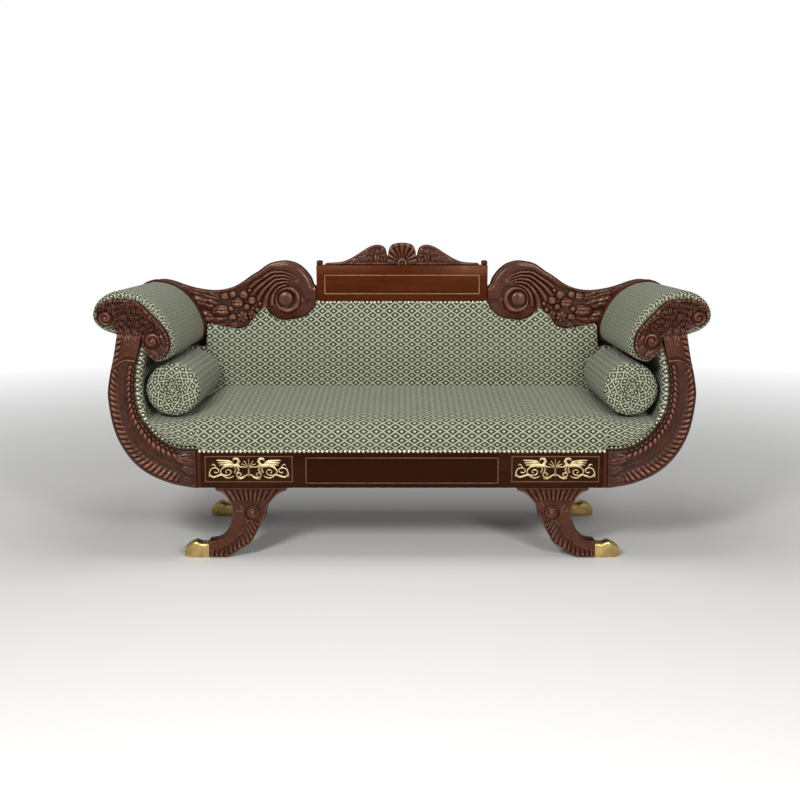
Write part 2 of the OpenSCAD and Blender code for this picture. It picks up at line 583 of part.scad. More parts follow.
// Shell with a leafy scroll on each side
cresting_shares = [[1, 0], [0.99, 0.06], [0.81, 0.10], [0.67, 0.27], [0.55, 0.58], [0.41, 0.84],
    [0.31, 0.92], [0.24, 0.70], [0.20, 0.55], [0.185, 0.72], [0.14, 0.90], [0.075, 0.98], [0, 1]];
cresting_leaf_shares = [[0.80, 0.075, 174, 0.50, 0.10], [0.68, 0.15, 165, 0.55, 0.18],
    [0.56, 0.28, 152, 0.60, 0.26], [0.46, 0.36, 140, 0.60, 0.26], [0.38, 0.30, 118, 0.48, 0.26]];
shell_ribs = 7;
module crest_shell() {
    hx = cresting_w / 2;
    z0 = tablet_z + tablet_h;
    shell_r = cresting_h * 0.74;
    side = [for (q = cresting_shares) [q[0] * hx, z0 + q[1] * cresting_h]];
    color(mahogany) {
        slab(concat(side, [for (q = flip(side)) if (q[0] > 0) [-q[0], q[1]]]), crest_face, crest_t / 2);
        for (s = [-1, 1]) mirror([s < 0 ? 1 : 0, 0, 0]) {
            for (q = cresting_leaf_shares) leaf([hx * q[0], z0 + cresting_h * q[1]],
                crest_face - lift(0), q[2], cresting_h * q[3], cresting_h * q[4], relief * 0.7, 0.05);
            disc([hx * 0.33, z0 + cresting_h * 0.62], crest_face - relief * 0.5, cresting_h * 0.24, crest_t / 2);
        }
        for (k = [0 : shell_ribs - 1])
            leaf([0, z0 + cresting_h * 0.17], crest_face - lift(k), 18 + 144 * k / (shell_ribs - 1),
                shell_r, shell_r * 0.34, relief * 0.7, 0);
        disc([0, z0 + cresting_h * 0.22], crest_face - relief, cresting_h * 0.15, crest_t / 2);
    }
}

// Splayed carved leg: x share of leg_w from its inner corner, z share of leg_h
leg_out_shares = [[0.90, 1], [0.895, 0.943], [0.815, 0.902], [0.753, 0.833], [0.703, 0.72],
    [0.692, 0.61], [0.722, 0.467], [0.787, 0.341], [0.878, 0.262], [1, 0.236]];
leg_in_shares = [[1, 0], [0.783, 0], [0.703, 0.049], [0.60, 0.118], [0.471, 0.203],
    [0.38, 0.37], [0.327, 0.484], [0.285, 0.553], [0.259, 0.667], [0.22, 0.764],
    [0.156, 0.846], [0.091, 0.902], [0, 0.943], [0, 1]];
rosette_share = [0.437, 0.638];
rosette_r = 30;
leg_leaf_shares = [[0.30, 0.93, 250, 1.2], [0.40, 0.95, 262, 1.2], [0.50, 0.95, 274, 1.2],
    [0.60, 0.94, 286, 1.2], [0.45, 0.46, -50, 1.3], [0.50, 0.38, -42, 1.3],
    [0.56, 0.31, -36, 1.3], [0.63, 0.25, -30, 1.2], [0.71, 0.19, -24, 1.1],
    [0.56, 0.50, -70, 1.2], [0.62, 0.40, -52, 1.2], [0.70, 0.31, -38, 1.1]];
leg_front_y = rail_y + rail_set;
leg_back_y = back_rail_y;
leg_face_t = leg_t - relief;
function leg_pt(s) = [leg_x + s[0] * leg_w, s[1] * leg_h];
module leg(y) {
    color(mahogany) {
        slab([for (s = concat(leg_in_shares, leg_out_shares)) leg_pt(s)], y + relief, leg_face_t);
        for (k = [0 : 2]) disc(leg_pt(rosette_share), y + relief - relief * (k + 1) / 3,
            rosette_r * (1 - k * 0.3), leg_face_t);
        for (i = [0 : len(leg_leaf_shares) - 1]) let (s = leg_leaf_shares[i])
            leaf(leg_pt([s[0], s[1]]), y + relief - lift(i), s[2], s[3] * rosette_r,
                rosette_r * 0.55, relief * 0.7, 0.15);
    }
}
module leg_front_right() {
    leg(leg_front_y);
}
module leg_front_left() {
    left_of() leg_front_right();
}
module leg_back_right() {
    leg(leg_back_y);
}
module leg_back_left() {
    left_of() leg_back_right();
}
// Brass paw on the end of a leg, flat underneath
toe_shares = [[0, 0], [0.93, 0], [1, 0.12], [0.99, 0.35], [0.92, 0.62], [0.78, 0.84],
    [0.60, 0.97], [0.40, 1], [0.2, 0.97], [0, 0.98]];
toe_w = leg_t;
groove_r = 4;
module toe_cap(y) {
    x0 = leg_x + leg_w;
    color(brass) difference() {
        intersection() {
            slab([for (s = toe_shares) [x0 + s[0] * toe_l, s[1] * toe_h]], y, toe_w);
            translate([x0, y, 0]) linear_extrude(toe_h) {
                square([toe_l * 0.75, toe_w]);
                for (k = [-1 : 1]) translate([toe_l * 0.74, toe_w * (1 + 0.62 * k) / 2])
                    circle(toe_w * 0.185);
            }
        }
        for (k = [-1, 1]) translate([x0 + toe_l * 0.35, y + toe_w * (1 + 0.31 * k) / 2, toe_h * 1.05])
            rotate([0, 122, 0]) cylinder(r = groove_r, h = toe_l);
    }
}
module toe_cap_front_right() {
    toe_cap(leg_front_y);
}
module toe_cap_front_left() {
    left_of() toe_cap_front_right();
}
module toe_cap_back_right() {
    toe_cap(leg_back_y);
}
module toe_cap_back_left() {
    left_of() toe_cap_back_right();
}

// Brass mount: two winged beasts over scrolls, facing a palmette
mount_w = 275;
mount_h = 74;
mount_t = 4;
mount_x = leg_x + leg_w * 0.46;
mount_z = leg_h + rail_h * 0.52;
beast_shares = [[0.10, 0.36], [0.20, 0.42], [0.26, 0.62], [0.22, 0.78], [0.26, 0.95], [0.36, 1],
    [0.42, 0.88], [0.38, 0.76], [0.44, 0.70], [0.56, 0.72], [0.72, 0.86], [0.88, 0.86],
    [0.84, 0.74], [0.80, 0.62], [0.86, 0.52], [0.80, 0.46], [0.72, 0.50], [0.66, 0.40],
    [0.60, 0.20], [0.52, 0.14], [0.50, 0.28], [0.54, 0.42], [0.44, 0.44], [0.34, 0.34],
    [0.30, 0.16], [0.12, 0.14], [0.04, 0.22]];
scroll_at_shares = [[0.16, 0.24, 0.20], [0.52, 0.22, 0.20], [0.72, 0.20, 0.19], [0.86, 0.26, 0.22]];
module rail_mount_right() {
    color(brass) translate([mount_x, rail_y, mount_z - mount_h / 2]) rotate([90, 0, 0]) {
        for (s = [0, 1]) mirror([s, 0, 0]) {
            linear_extrude(mount_t)
                polygon(loop([for (q = beast_shares) [q[0] * mount_w / 2, q[1] * mount_h]], 81));
            for (q = scroll_at_shares) translate([q[0] * mount_w / 2, q[1] * mount_h, 0])
                linear_extrude(mount_t) difference() {
                    circle(q[2] * mount_h);
                    circle(q[2] * mount_h * 0.55);
                }
        }
        linear_extrude(mount_t) for (a = [30 : 30 : 150])
            rotate(0) translate([0, mount_h * 0.62])
                rotate(a - 90) translate([-mount_h * 0.03, 0]) square([mount_h * 0.06, mount_h * 0.3]);
        linear_extrude(mount_t) translate([-mount_h * 0.1, 0]) square([mount_h * 0.2, mount_h * 0.66]);
    }
}
module rail_mount_left() {
    left_of() rail_mount_right();
}
panel_h = rail_h * 0.72;
panel_w = mount_w + string_w * 5;
// Bare wood between the side panels and the middle one
panel_gap = 43;
module rail_inlay() {
    color(string) {
        string_frame(0, leg_h + rail_h * 0.48, 2 * (mount_x - panel_w / 2 - panel_gap), panel_h, rail_y);
        for (s = [-1, 1]) string_frame(s * mount_x, mount_z, panel_w, panel_h, rail_y);
    }
}

// Bolsters: gathered round ends, drawn in by a button
bolster_z = seat_z + fit + bolster_r;
bolster_y = facing_back + lining_t + over;
// Places along the axis from the front, and radii, as shares of the radius
bolster_end_shares = [[0.055, 0.10], [0.05, 0.2], [-0.01, 0.42], [-0.02, 0.64], [0.03, 0.84],
    [0.12, 0.95], [0.25, 0.995]];
gather_shares = [0, 0.02, 0.035, 0.025, 0.012, 0.006, 0];
sides_n = 2 * gathers;
function bolster_ring(y, r, g, s) = [for (i = [0 : sides_n - 1])
    let (a = 360 * i / sides_n, d = s * g * bolster_r * (i % 2 == 0 ? 1 : -1))
    [bolster_x + r * bolster_r * cos(a), y + d, bolster_z + r * bolster_r * sin(a)]];
bolster_n = len(bolster_end_shares);
module bolster_right() {
    color(cloth) loft(concat(
        [for (k = [0 : bolster_n - 1]) let (s = bolster_end_shares[k])
            bolster_ring(bolster_y + (s[0] + 0.07) * bolster_r, s[1], gather_shares[k], 1)],
        [bolster_ring(bolster_y + bolster_l / 2, 1, 0, 0)],
        [for (k = [bolster_n - 1 : -1 : 0]) let (s = bolster_end_shares[k])
            bolster_ring(bolster_y + bolster_l - (s[0] + 0.07) * bolster_r, s[1], gather_shares[k], -1)]));
}
module bolster_left() {
    left_of() bolster_right();
}
button_r = 13;
button_t = 6;
module bolster_buttons_right() {
    color(cloth) for (k = [0, 1])
        let (y = bolster_y + k * bolster_l + (1 - 2 * k) * (bolster_end_shares[0][0] + 0.07) * bolster_r)
            translate([bolster_x, y, bolster_z]) rotate([k == 0 ? 90 : -90, 0, 0]) {
                cylinder(r = button_r * 0.7, h = button_t);
            }
}
module bolster_buttons_left() {
    left_of() bolster_buttons_right();
}

front_rail();
back_rail();
end_rail_left();
end_rail_right();
corner_blocks();
seat_braces();
webbing();
seat_springs();
spring_cover();
dust_cover();
seat_pad();
back_pad();
arm_lining_left();
arm_lining_right();
arm_roll_left();
arm_roll_right();
outside_arm_left();
outside_arm_right();
arm_facing_left();
arm_facing_right();
scroll_head_left();
scroll_head_right();
arm_post_left();
arm_post_right();
rear_post_left();
rear_post_right();
arm_stretchers_left();
arm_stretchers_right();
back_muntins();
tack_rail();
outside_back();
crest_rail_left();
crest_rail_right();
crest_tablet();
crest_inlay();
crest_shell();
tablet_blocks();
leg_front_left();
leg_front_right();
leg_back_left();
leg_back_right();
toe_cap_front_left();
toe_cap_front_right();
toe_cap_back_left();
toe_cap_back_right();
rail_mount_left();
rail_mount_right();
rail_inlay();
bolster_left();
bolster_right();
bolster_buttons_left();
bolster_buttons_right();
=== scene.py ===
"""Dressed model of a carved mahogany scroll-arm sofa with lattice upholstery."""

import logging
import math
from dataclasses import dataclass, field
from enum import Enum
from typing import Callable, Sequence

import bpy
import numpy as np
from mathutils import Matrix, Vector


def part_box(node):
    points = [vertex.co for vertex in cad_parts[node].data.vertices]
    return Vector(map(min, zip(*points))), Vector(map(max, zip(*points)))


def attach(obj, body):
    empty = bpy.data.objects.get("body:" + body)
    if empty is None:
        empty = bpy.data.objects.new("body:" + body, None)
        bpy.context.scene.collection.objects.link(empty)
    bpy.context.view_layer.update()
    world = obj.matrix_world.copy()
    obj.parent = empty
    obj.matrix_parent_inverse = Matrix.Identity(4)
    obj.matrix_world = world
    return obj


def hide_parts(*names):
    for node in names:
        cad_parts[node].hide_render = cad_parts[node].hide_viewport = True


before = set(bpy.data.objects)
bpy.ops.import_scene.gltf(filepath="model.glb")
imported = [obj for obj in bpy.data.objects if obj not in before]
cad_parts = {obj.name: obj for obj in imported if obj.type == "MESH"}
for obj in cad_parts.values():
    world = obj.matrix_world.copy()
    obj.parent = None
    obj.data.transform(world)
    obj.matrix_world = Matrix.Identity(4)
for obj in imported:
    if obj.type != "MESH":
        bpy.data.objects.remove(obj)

LOG = logging.getLogger("sofa")
Array = np.ndarray
Point = tuple[float, float]
Triple = tuple[float, float, float]
Form = Callable[[Array, Array], Array]
Piece = bpy.types.Object
Node = bpy.types.Node
Tree = bpy.types.NodeTree
Socket = bpy.types.NodeSocket
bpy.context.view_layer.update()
BODY = "sofa"
HAIR = 0.0003
REAR_LEG_Y = 0.240
BETWEEN_LEGS = (-0.258, 0.238)


class Side(Enum):
    """Left or right half of the sofa, as seen from the front."""

    LEFT = -1
    RIGHT = 1

    @property
    def word(self) -> str:
        """The half's name in a node's name."""
        return self.name.lower()


class Slot(Enum):
    """Material slots of the record."""

    MAHOGANY = "mahogany"
    VENEER = "mahogany_veneer"
    STRING = "string_wood"
    FRAME = "frame_wood"
    FABRIC = "lattice_fabric"
    JUTE = "jute"
    DUST = "dust_cloth"
    STEEL = "spring_steel"
    BRASS = "brass_gilt"


def spline(points: Sequence[Point], t: Array) -> Array:
    """Follows a smooth curve through points.

    Args:
        points: Places on the curve, in order.
        t: Shares of the way along, from 0 to 1.

    Returns:
        One place for each share.
    """
    p = np.asarray(points, float)
    n = len(p) - 1
    s = np.clip(np.asarray(t, float), 0, 1) * n
    i = np.minimum(s.astype(int), n - 1)
    f = (s - i)[:, None]
    a, b, c, d = p[np.maximum(i - 1, 0)], p[i], p[i + 1], p[np.minimum(i + 2, n)]
    return b + 0.5 * f * ((c - a) + f * ((2 * a - 5 * b + 4 * c - d) + f * (3 * b - a - 3 * c + d)))


def curve(points: Sequence[Point], count: int) -> Array:
    """Evenly shared places on a smooth curve through points."""
    return spline(points, np.linspace(0, 1, count))


def spots_of(*parts: object) -> Array:
    """Rows of coordinates from one array or number for each of them."""
    return np.stack(np.broadcast_arrays(*parts), 1)


def cell(share: Array, count: int) -> Array:
    """Number of a grid's row or column from its share of the way."""
    return np.rint(share * count).astype(int)


def hump(place: Array, power: float = 0.5) -> Array:
    """Rounded rise that is 1 at place 0 and 0 from place 1 on."""
    return np.clip(1 - place ** 2, 0, 1) ** power


def left_of(line: Array) -> Array:
    """The way to the left of a line at each of its places."""
    way = np.gradient(line, axis=0)
    way /= np.maximum(np.linalg.norm(way, axis=1), 1e-9)[:, None]
    return spots_of(-way[:, 1], way[:, 0])


def shifted(line: Array, distance: float) -> Array:
    """Moves an open line to its left by a distance."""
    return line + distance * left_of(line)


def ease(s: Array) -> Array:
    """Smooth step from 0 to 1."""
    c = np.clip(s, 0, 1)
    return c * c * (3 - 2 * c)


def lengths(line: Array) -> Array:
    """Distance along a line at each of its places."""
    return np.concatenate([[0.0], np.cumsum(np.linalg.norm(np.diff(line, axis=0), axis=1))])


@dataclass
class Sizes:
    """Sizes in metres: the construction's, and the tablet and cresting as photographed."""

    rail_w: float = 1.360
    leg_h: float = 0.246
    rail_h: float = 0.122
    rail_t: float = 0.060
    depth: float = 0.700
    arm_out: float = 0.320
    arm_h: float = 0.650
    facing_t: float = 0.032
    relief: float = 0.011
    post_t: float = 0.040
    lining_t: float = 0.014
    cover_t: float = 0.005
    crest_t: float = 0.060
    crest_z: float = 0.719
    crest_h: float = 0.254
    tablet_w: float = 0.644
    tablet_z: float = 0.823
    tablet_h: float = 0.134
    cresting_h: float = 0.083
    cresting_w: float = 0.576
    seat_h: float = 0.106
    crown_h: float = 0.040
    back_t: float = 0.100
    bolster_r: float = 0.093
    bolster_l: float = 0.480
    leg_t: float = 0.060
    leg_w: float = 0.263
    leg_x: float = 0.386
    toe_l: float = 0.084
    toe_h: float = 0.060
    rail_set: float = 0.015

    @property
    def half_w(self) -> float:
        """Half of the width over the arms."""
        return self.rail_w / 2 + self.arm_out

    @property
    def front(self) -> float:
        """Front plane of the carved scrolls."""
        return -self.depth / 2

    @property
    def rail_y(self) -> float:
        """Front face of the front rail."""
        return self.front + self.rail_set

    @property
    def facing_back(self) -> float:
        """Back of the arm facings."""
        return self.front + self.facing_t

    @property
    def crest_y(self) -> float:
        """Front face of the crest tablet."""
        return self.depth / 2 - self.crest_t

    @property
    def rail_top(self) -> float:
        """Top of the seat rails."""
        return self.leg_h + self.rail_h

    @property
    def frame_y(self) -> float:
        """Front of the back frame."""
        return self.crest_y + 0.010

    @property
    def rear_post_y(self) -> float:
        """Front of the rear posts, where the rolls end."""
        return self.crest_y - self.post_t

    @property
    def seat_back_y(self) -> float:
        """Where the seat meets the back pad."""
        return self.frame_y - self.back_t

    @property
    def seat_z(self) -> float:
        """Top of the seat at its sides."""
        return self.rail_top + self.seat_h

    def arm(self, shares: Sequence[Point]) -> Array:
        """Places on the right arm from shares of its reach and rise."""
        s = np.asarray(shares, float)
        return spots_of(self.rail_w / 2 + s[:, 0] * self.arm_out, self.leg_h + s[:, 1] * self.arm_h)

    def crest(self, shares: Sequence[Point]) -> Array:
        """Places on the right crest rail from shares of its reach and rise."""
        s = np.asarray(shares, float)
        x0 = self.tablet_w / 2
        return spots_of(x0 + s[:, 0] * (self.half_w - x0), self.crest_z + s[:, 1] * self.crest_h)

    def leg(self, shares: Sequence[Point]) -> Array:
        """Places on the right front leg from shares of its spread and height."""
        s = np.asarray(shares, float)
        return spots_of(self.leg_x + s[:, 0] * self.leg_w, s[:, 1] * self.leg_h)


S = Sizes()
OUTER = S.arm([(0, 0), (0.27, 0.026), (0.52, 0.083), (0.70, 0.17), (0.825, 0.294), (0.881, 0.457),
               (0.863, 0.558), (0.812, 0.671), (0.772, 0.775)])
INNER = S.arm([(0, 0.195), (0.206, 0.203), (0.388, 0.252), (0.516, 0.325), (0.594, 0.406),
               (0.616, 0.506), (0.60, 0.609), (0.556, 0.698), (0.519, 0.768)])
ROLL = S.arm([(0.772, 0.775), (0.85, 0.788), (0.945, 0.808), (1.020, 0.845), (1.034, 0.887), (0.992, 0.938),
              (0.896, 0.979), (0.778, 1), (0.675, 0.997), (0.575, 0.986), (0.478, 0.962), (0.378, 0.922),
              (0.30, 0.872), (0.234, 0.808), (0.197, 0.735), (0.222, 0.682), (0.294, 0.655),
              (0.385, 0.642), (0.44, 0.652), (0.462, 0.69), (0.470, 0.74)])
HEAD = S.arm([(0.772, 0.775), (0.79, 0.808), (0.84, 0.826), (0.92, 0.830), (0.985, 0.862), (0.975, 0.918),
              (0.893, 0.952), (0.79, 0.961), (0.666, 0.961), (0.55, 0.947), (0.456, 0.905), (0.36, 0.857),
              (0.278, 0.808),
              (0.24, 0.76), (0.243, 0.709), (0.30, 0.668), (0.40, 0.66), (0.48, 0.69), (0.518, 0.73),
              (0.519, 0.768)])


class Graph:
    """Shader nodes of one material or group, with short calls to add and join them."""

    def __init__(self, tree: Tree) -> None:
        """Takes the node tree to work in.

        Args:
            tree: The tree of a material or of a node group.
        """
        self.tree = tree

    def add(self, kind: str, **values: object) -> Node:
        """Adds a node and sets its own properties.

        Args:
            kind: The node's type, without the ShaderNode prefix.
            values: Properties of the node.

        Returns:
            The new node.
        """
        prefix = "" if kind.startswith("Node") else "ShaderNode"
        node = self.tree.nodes.new(prefix + kind)
        for name, value in values.items():
            setattr(node, name, value)
        return node

    def put(self, socket: Socket, value: object) -> None:
        """Joins a socket to another, or sets its value."""
        if isinstance(value, Socket):
            self.tree.links.new(value, socket)
        elif isinstance(value, tuple) and len(value) == 3 and len(socket.default_value) == 4:
            socket.default_value = (*value, 1.0)
        else:
            socket.default_value = value

    def feed(self, node: Node, **values: object) -> None:
        """Joins or sets inputs of a node by name, with _ for a space."""
        for name, value in values.items():
            self.put(node.inputs[name.replace("_", " ")], value)

    def math(self, what: str, *values: object) -> Socket:
        """Adds a Math node.

        Args:
            what: The operation.
            values: Its inputs, sockets or numbers.

        Returns:
            Its result.
        """
        node = self.add("Math", operation=what)
        for socket, value in zip(node.inputs, values):
            self.put(socket, value)
        return node.outputs[0]

    def mix(self, share: object, a: object, b: object, how: str = "MIX") -> Socket:
        """Mixes two colours.

        Args:
            share: Share of the second colour.
            a: First colour.
            b: Second colour.
            how: Blend type.

        Returns:
            The mixed colour.
        """
        node = self.add("Mix", data_type="RGBA", blend_type=how)
        self.put(node.inputs[0], share)
        self.put(node.inputs[6], a)
        self.put(node.inputs[7], b)
        return node.outputs[2]

    def remap(self, value: object, low: float, high: float, out_low: float = 0.0,
              out_high: float = 1.0) -> Socket:
        """Maps a range of values to another, clamped.

        Args:
            value: The socket to map.
            low: Value that gives out_low.
            high: Value that gives out_high.
            out_low: Lowest result.
            out_high: Highest result.

        Returns:
            The mapped value.
        """
        node = self.add("MapRange")
        self.put(node.inputs[0], value)
        for socket, number in zip(node.inputs[1:5], (low, high, out_low, out_high)):
            socket.default_value = number
        return node.outputs[0]

    def noise(self, vector: object, scale: float, detail: float = 3.0, rough: float = 0.55,
              out: str = "Fac") -> Socket:
        """Adds a noise texture.

        Args:
            vector: Its coordinates.
            scale: Its scale.
            detail: Its detail.
            rough: Its roughness.
            out: Which result is taken.

        Returns:
            The result.
        """
        node = self.add("TexNoise")
        self.feed(node, Vector=vector, Scale=scale, Detail=detail, Roughness=rough)
        return node.outputs[out]

    def stretched(self, vector: object, scale: Triple) -> Socket:
        """Scales coordinates."""
        node = self.add("Mapping")
        self.put(node.inputs["Vector"], vector)
        node.inputs["Scale"].default_value = scale
        return node.outputs[0]

    def bump(self, height: object, strength: float, distance: float) -> Socket:
        """Adds a Bump node.

        Args:
            height: The height, from 0 to 1.
            strength: Share of the effect.
            distance: What a height of 1 stands for, in metres.

        Returns:
            The normal.
        """
        node = self.add("Bump")
        self.feed(node, Strength=strength, Distance=distance, Height=height)
        return node.outputs[0]


class Effect:
    """A shader node group that several finishes share."""

    made: dict[str, Tree] = {}

    @classmethod
    def group(cls, name: str, inputs: Sequence[tuple[str, str, object]], outputs: Sequence[tuple[str, str]],
              build: Callable[[Graph, dict[str, Socket], dict[str, Socket]], None],
              ) -> Tree:
        """Builds a group once.

        Args:
            name: The group's name.
            inputs: Name, kind and default of each input.
            outputs: Name and kind of each output.
            build: Adds the nodes between them.

        Returns:
            The group.
        """
        if name in cls.made:
            return cls.made[name]
        tree = bpy.data.node_groups.new(name, "ShaderNodeTree")
        for label, kind, value in inputs:
            socket = tree.interface.new_socket(label, in_out="INPUT", socket_type="NodeSocket" + kind)
            if value is not None:
                socket.default_value = value
        for label, kind in outputs:
            tree.interface.new_socket(label, in_out="OUTPUT", socket_type="NodeSocket" + kind)
        graph = Graph(tree)
        start, end = graph.add("NodeGroupInput"), graph.add("NodeGroupOutput")
        build(graph, {s.name: s for s in start.outputs}, {s.name: s for s in end.inputs})
        cls.made[name] = tree
        return tree

    @staticmethod
    def place(graph: Graph, tree: Tree, **values: object) -> Node:
        """Puts a group into a material.

        Args:
            graph: The material's nodes.
            tree: The group.
            values: Input values by name, with _ for a space.

        Returns:
            The group node.
        """
        node = graph.add("Group")
        node.node_tree = tree
        graph.feed(node, **values)
        return node


def wood_grain() -> Tree:
    """Long grain of a wood, with pores and slow colour bands."""

    def build(g: Graph, a: dict, z: dict) -> None:
        warp = g.noise(a["Vector"], 3.0, 2.0, out="Color")
        bent = g.add("VectorMath", operation="MULTIPLY_ADD")
        g.put(bent.inputs[0], warp)
        bent.inputs[1].default_value = (0.05, 0.05, 0.05)
        g.put(bent.inputs[2], a["Vector"])
        bands = g.noise(bent.outputs[0], 26.0, 4.0, 0.6)
        pores = g.noise(g.stretched(bent.outputs[0], (0.25, 1, 1)), 420.0, 2.0, 0.5)
        fleck = g.remap(pores, 0.60, 0.72)
        tone = g.mix(g.remap(bands, 0.30, 0.70), a["Dark"], a["Light"])
        g.put(z["Color"], g.mix(g.math("MULTIPLY", fleck, 0.55), tone, a["Pore"]))
        g.put(z["Height"], g.math("SUBTRACT", bands, g.math("MULTIPLY", fleck, 0.6)))

    return Effect.group("wood_grain",
                        [("Vector", "Vector", None), ("Dark", "Color", (0.1, 0.03, 0.02, 1)),
                         ("Light", "Color", (0.2, 0.07, 0.04, 1)), ("Pore", "Color", (0.03, 0.01, 0.01, 1))],
                        [("Color", "Color"), ("Height", "Float")], build)


def carved_wear() -> Tree:
    """Dark old wax and painted shade in the hollows of a carving, rubbed colour and painted highlight on its
    ridges.
    """

    def build(g: Graph, a: dict, z: dict) -> None:
        cloud = g.noise(a["Vector"], 38.0, 3.0)
        height = g.math("ADD", a["Height"], g.remap(cloud, 0.3, 0.7, -0.12, 0.12))
        hollow = g.remap(height, 0.12, 0.58, 1.0, 0.0)
        ridge = g.remap(height, 0.68, 0.98)
        # painted shade: the hollows take the dark colour, which stands for shade as well as real old wax
        waxed_and_shaded = g.mix(g.math("MULTIPLY", hollow, 0.94), a["Color"], a["Wax"])
        # painted highlight: the ridges take the rubbed colour, which stands for highlights as well as real
        # rubbed polish
        g.put(z["Color"], g.mix(g.math("MULTIPLY", ridge, 0.55), waxed_and_shaded, a["Rubbed"]))
        base = g.remap(cloud, 0.3, 0.7, 0.19, 0.31)
        g.put(z["Roughness"], g.math("ADD", g.math("MULTIPLY", hollow, 0.22), base))

    return Effect.group("carved_wear",
                        [("Vector", "Vector", None), ("Height", "Float", 1.0),
                         ("Color", "Color", (0.2, 0.06, 0.04, 1)), ("Wax", "Color", (0.02, 0.008, 0.006, 1)),
                         ("Rubbed", "Color", (0.3, 0.1, 0.06, 1))],
                        [("Color", "Color"), ("Roughness", "Float")], build)


def lattice_cloth() -> Tree:
    """Woven rhombus lattice: pale lines, a dark ring in each cell and a pale eye in it."""

    def build(g: Graph, a: dict, z: dict) -> None:
        wobble = g.noise(a["Vector"], 260.0, 2.0, out="Color")
        jog = g.add("VectorMath", operation="MULTIPLY_ADD")
        g.put(jog.inputs[0], wobble)
        jog.inputs[1].default_value = (0.0012, 0.0012, 0)
        g.put(jog.inputs[2], a["Vector"])
        parts = g.add("SeparateXYZ")
        g.put(parts.inputs[0], jog.outputs[0])
        u = g.math("DIVIDE", parts.outputs[0], a["Width"])
        v = g.math("DIVIDE", parts.outputs[1], a["Tall"])
        offset = [g.math("SUBTRACT", g.math("FRACT", g.math("ADD", g.math(how, u, v), 64.0)), 0.5)
                  for how in ("ADD", "SUBTRACT")]
        edge = g.math("MAXIMUM", *[g.math("ABSOLUTE", part) for part in offset])
        line = g.remap(edge, 0.392, 0.432)
        corner = g.remap(g.math("ABSOLUTE", g.math("ADD", *offset)), 0.10, 0.55, 0.66, 1.0)
        band = g.math("MULTIPLY", g.remap(edge, 0.150, 0.205), g.remap(edge, 0.415, 0.345))
        ring = g.math("MULTIPLY", band, corner)
        eye = g.remap(edge, 0.160, 0.112)
        soft = g.noise(a["Vector"], 900.0, 2.0)
        shade = g.remap(soft, 0.3, 0.7, 0.78, 1.16)
        base = g.mix(ring, a["Ground"], a["Ring"])
        eyed = g.mix(eye, base, a["Eye"])
        drawn = g.mix(line, eyed, a["Line"])
        worn = g.noise(a["Vector"], 7.0, 3.0)
        tint = g.mix(g.remap(worn, 0.35, 0.7, 0.0, 0.16), drawn, a["Worn"])
        g.put(z["Color"], g.mix(1.0, tint, shade, "MULTIPLY"))
        threads = [g.math("SINE", g.math("MULTIPLY", parts.outputs[k], 2 * math.pi / 0.0011)) for k in (0, 1)]
        weave = g.math("MULTIPLY", threads[0], threads[1])
        g.put(z["Height"], g.math("ADD", g.math("MULTIPLY", weave, 0.22),
                                  g.math("ADD", g.math("MULTIPLY", line, 0.8), g.math("MULTIPLY", eye, 0.6))))

    return Effect.group("lattice_cloth",
                        [("Vector", "Vector", None), ("Width", "Float", 0.042), ("Tall", "Float", 0.0304),
                         ("Line", "Color", (0.6, 0.6, 0.45, 1)), ("Eye", "Color", (0.7, 0.7, 0.55, 1)),
                         ("Ring", "Color", (0.03, 0.04, 0.02, 1)),
                         ("Ground", "Color", (0.15, 0.17, 0.1, 1)), ("Worn", "Color", (0.4, 0.4, 0.3, 1))],
                        [("Color", "Color"), ("Height", "Float")], build)


def plain_weave() -> Tree:
    """Crossed yarns of a coarse plain cloth, from its own coordinates."""

    def build(g: Graph, a: dict, z: dict) -> None:
        parts = g.add("SeparateXYZ")
        g.put(parts.inputs[0], a["Vector"])
        rate = g.math("DIVIDE", 2 * math.pi, a["Pitch"])
        waves = [g.math("SINE", g.math("MULTIPLY", parts.outputs[k], rate)) for k in (0, 1)]
        over = g.math("MULTIPLY", waves[0], waves[1])
        slub = g.noise(a["Vector"], 60.0, 4.0)
        g.put(z["Height"], g.math("ADD", g.math("MULTIPLY", over, 0.5), slub))
        tone = g.mix(g.remap(slub, 0.3, 0.7), a["Dark"], a["Light"])
        g.put(z["Color"], g.mix(g.remap(over, 0.6, -0.6, 0.0, 0.45), tone, a["Dark"]))

    return Effect.group("plain_weave",
                        [("Vector", "Vector", None), ("Pitch", "Float", 0.004),
                         ("Dark", "Color", (0.1, 0.08, 0.05, 1)), ("Light", "Color", (0.4, 0.3, 0.2, 1))],
                        [("Color", "Color"), ("Height", "Float")], build)


@dataclass(frozen=True)
class Finish:
    """A finish: its name and how its shader nodes are made."""

    name: str

    def surface(self, g: Graph, bsdf: Node, coords: Node) -> None:
        """Adds the nodes of this finish.

        Args:
            g: Nodes of the material.
            bsdf: Its Principled shader.
            coords: Its texture coordinates.
        """
        raise NotImplementedError

    def material(self) -> bpy.types.Material:
        """The finish's material, made once."""
        found = bpy.data.materials.get(self.name)
        if found:
            return found
        made = bpy.data.materials.new(self.name)
        made.use_nodes = True
        tree = made.node_tree
        bsdf = next(n for n in tree.nodes if n.type == "BSDF_PRINCIPLED")
        g = Graph(tree)
        self.surface(g, bsdf, g.add("TexCoord"))
        return made


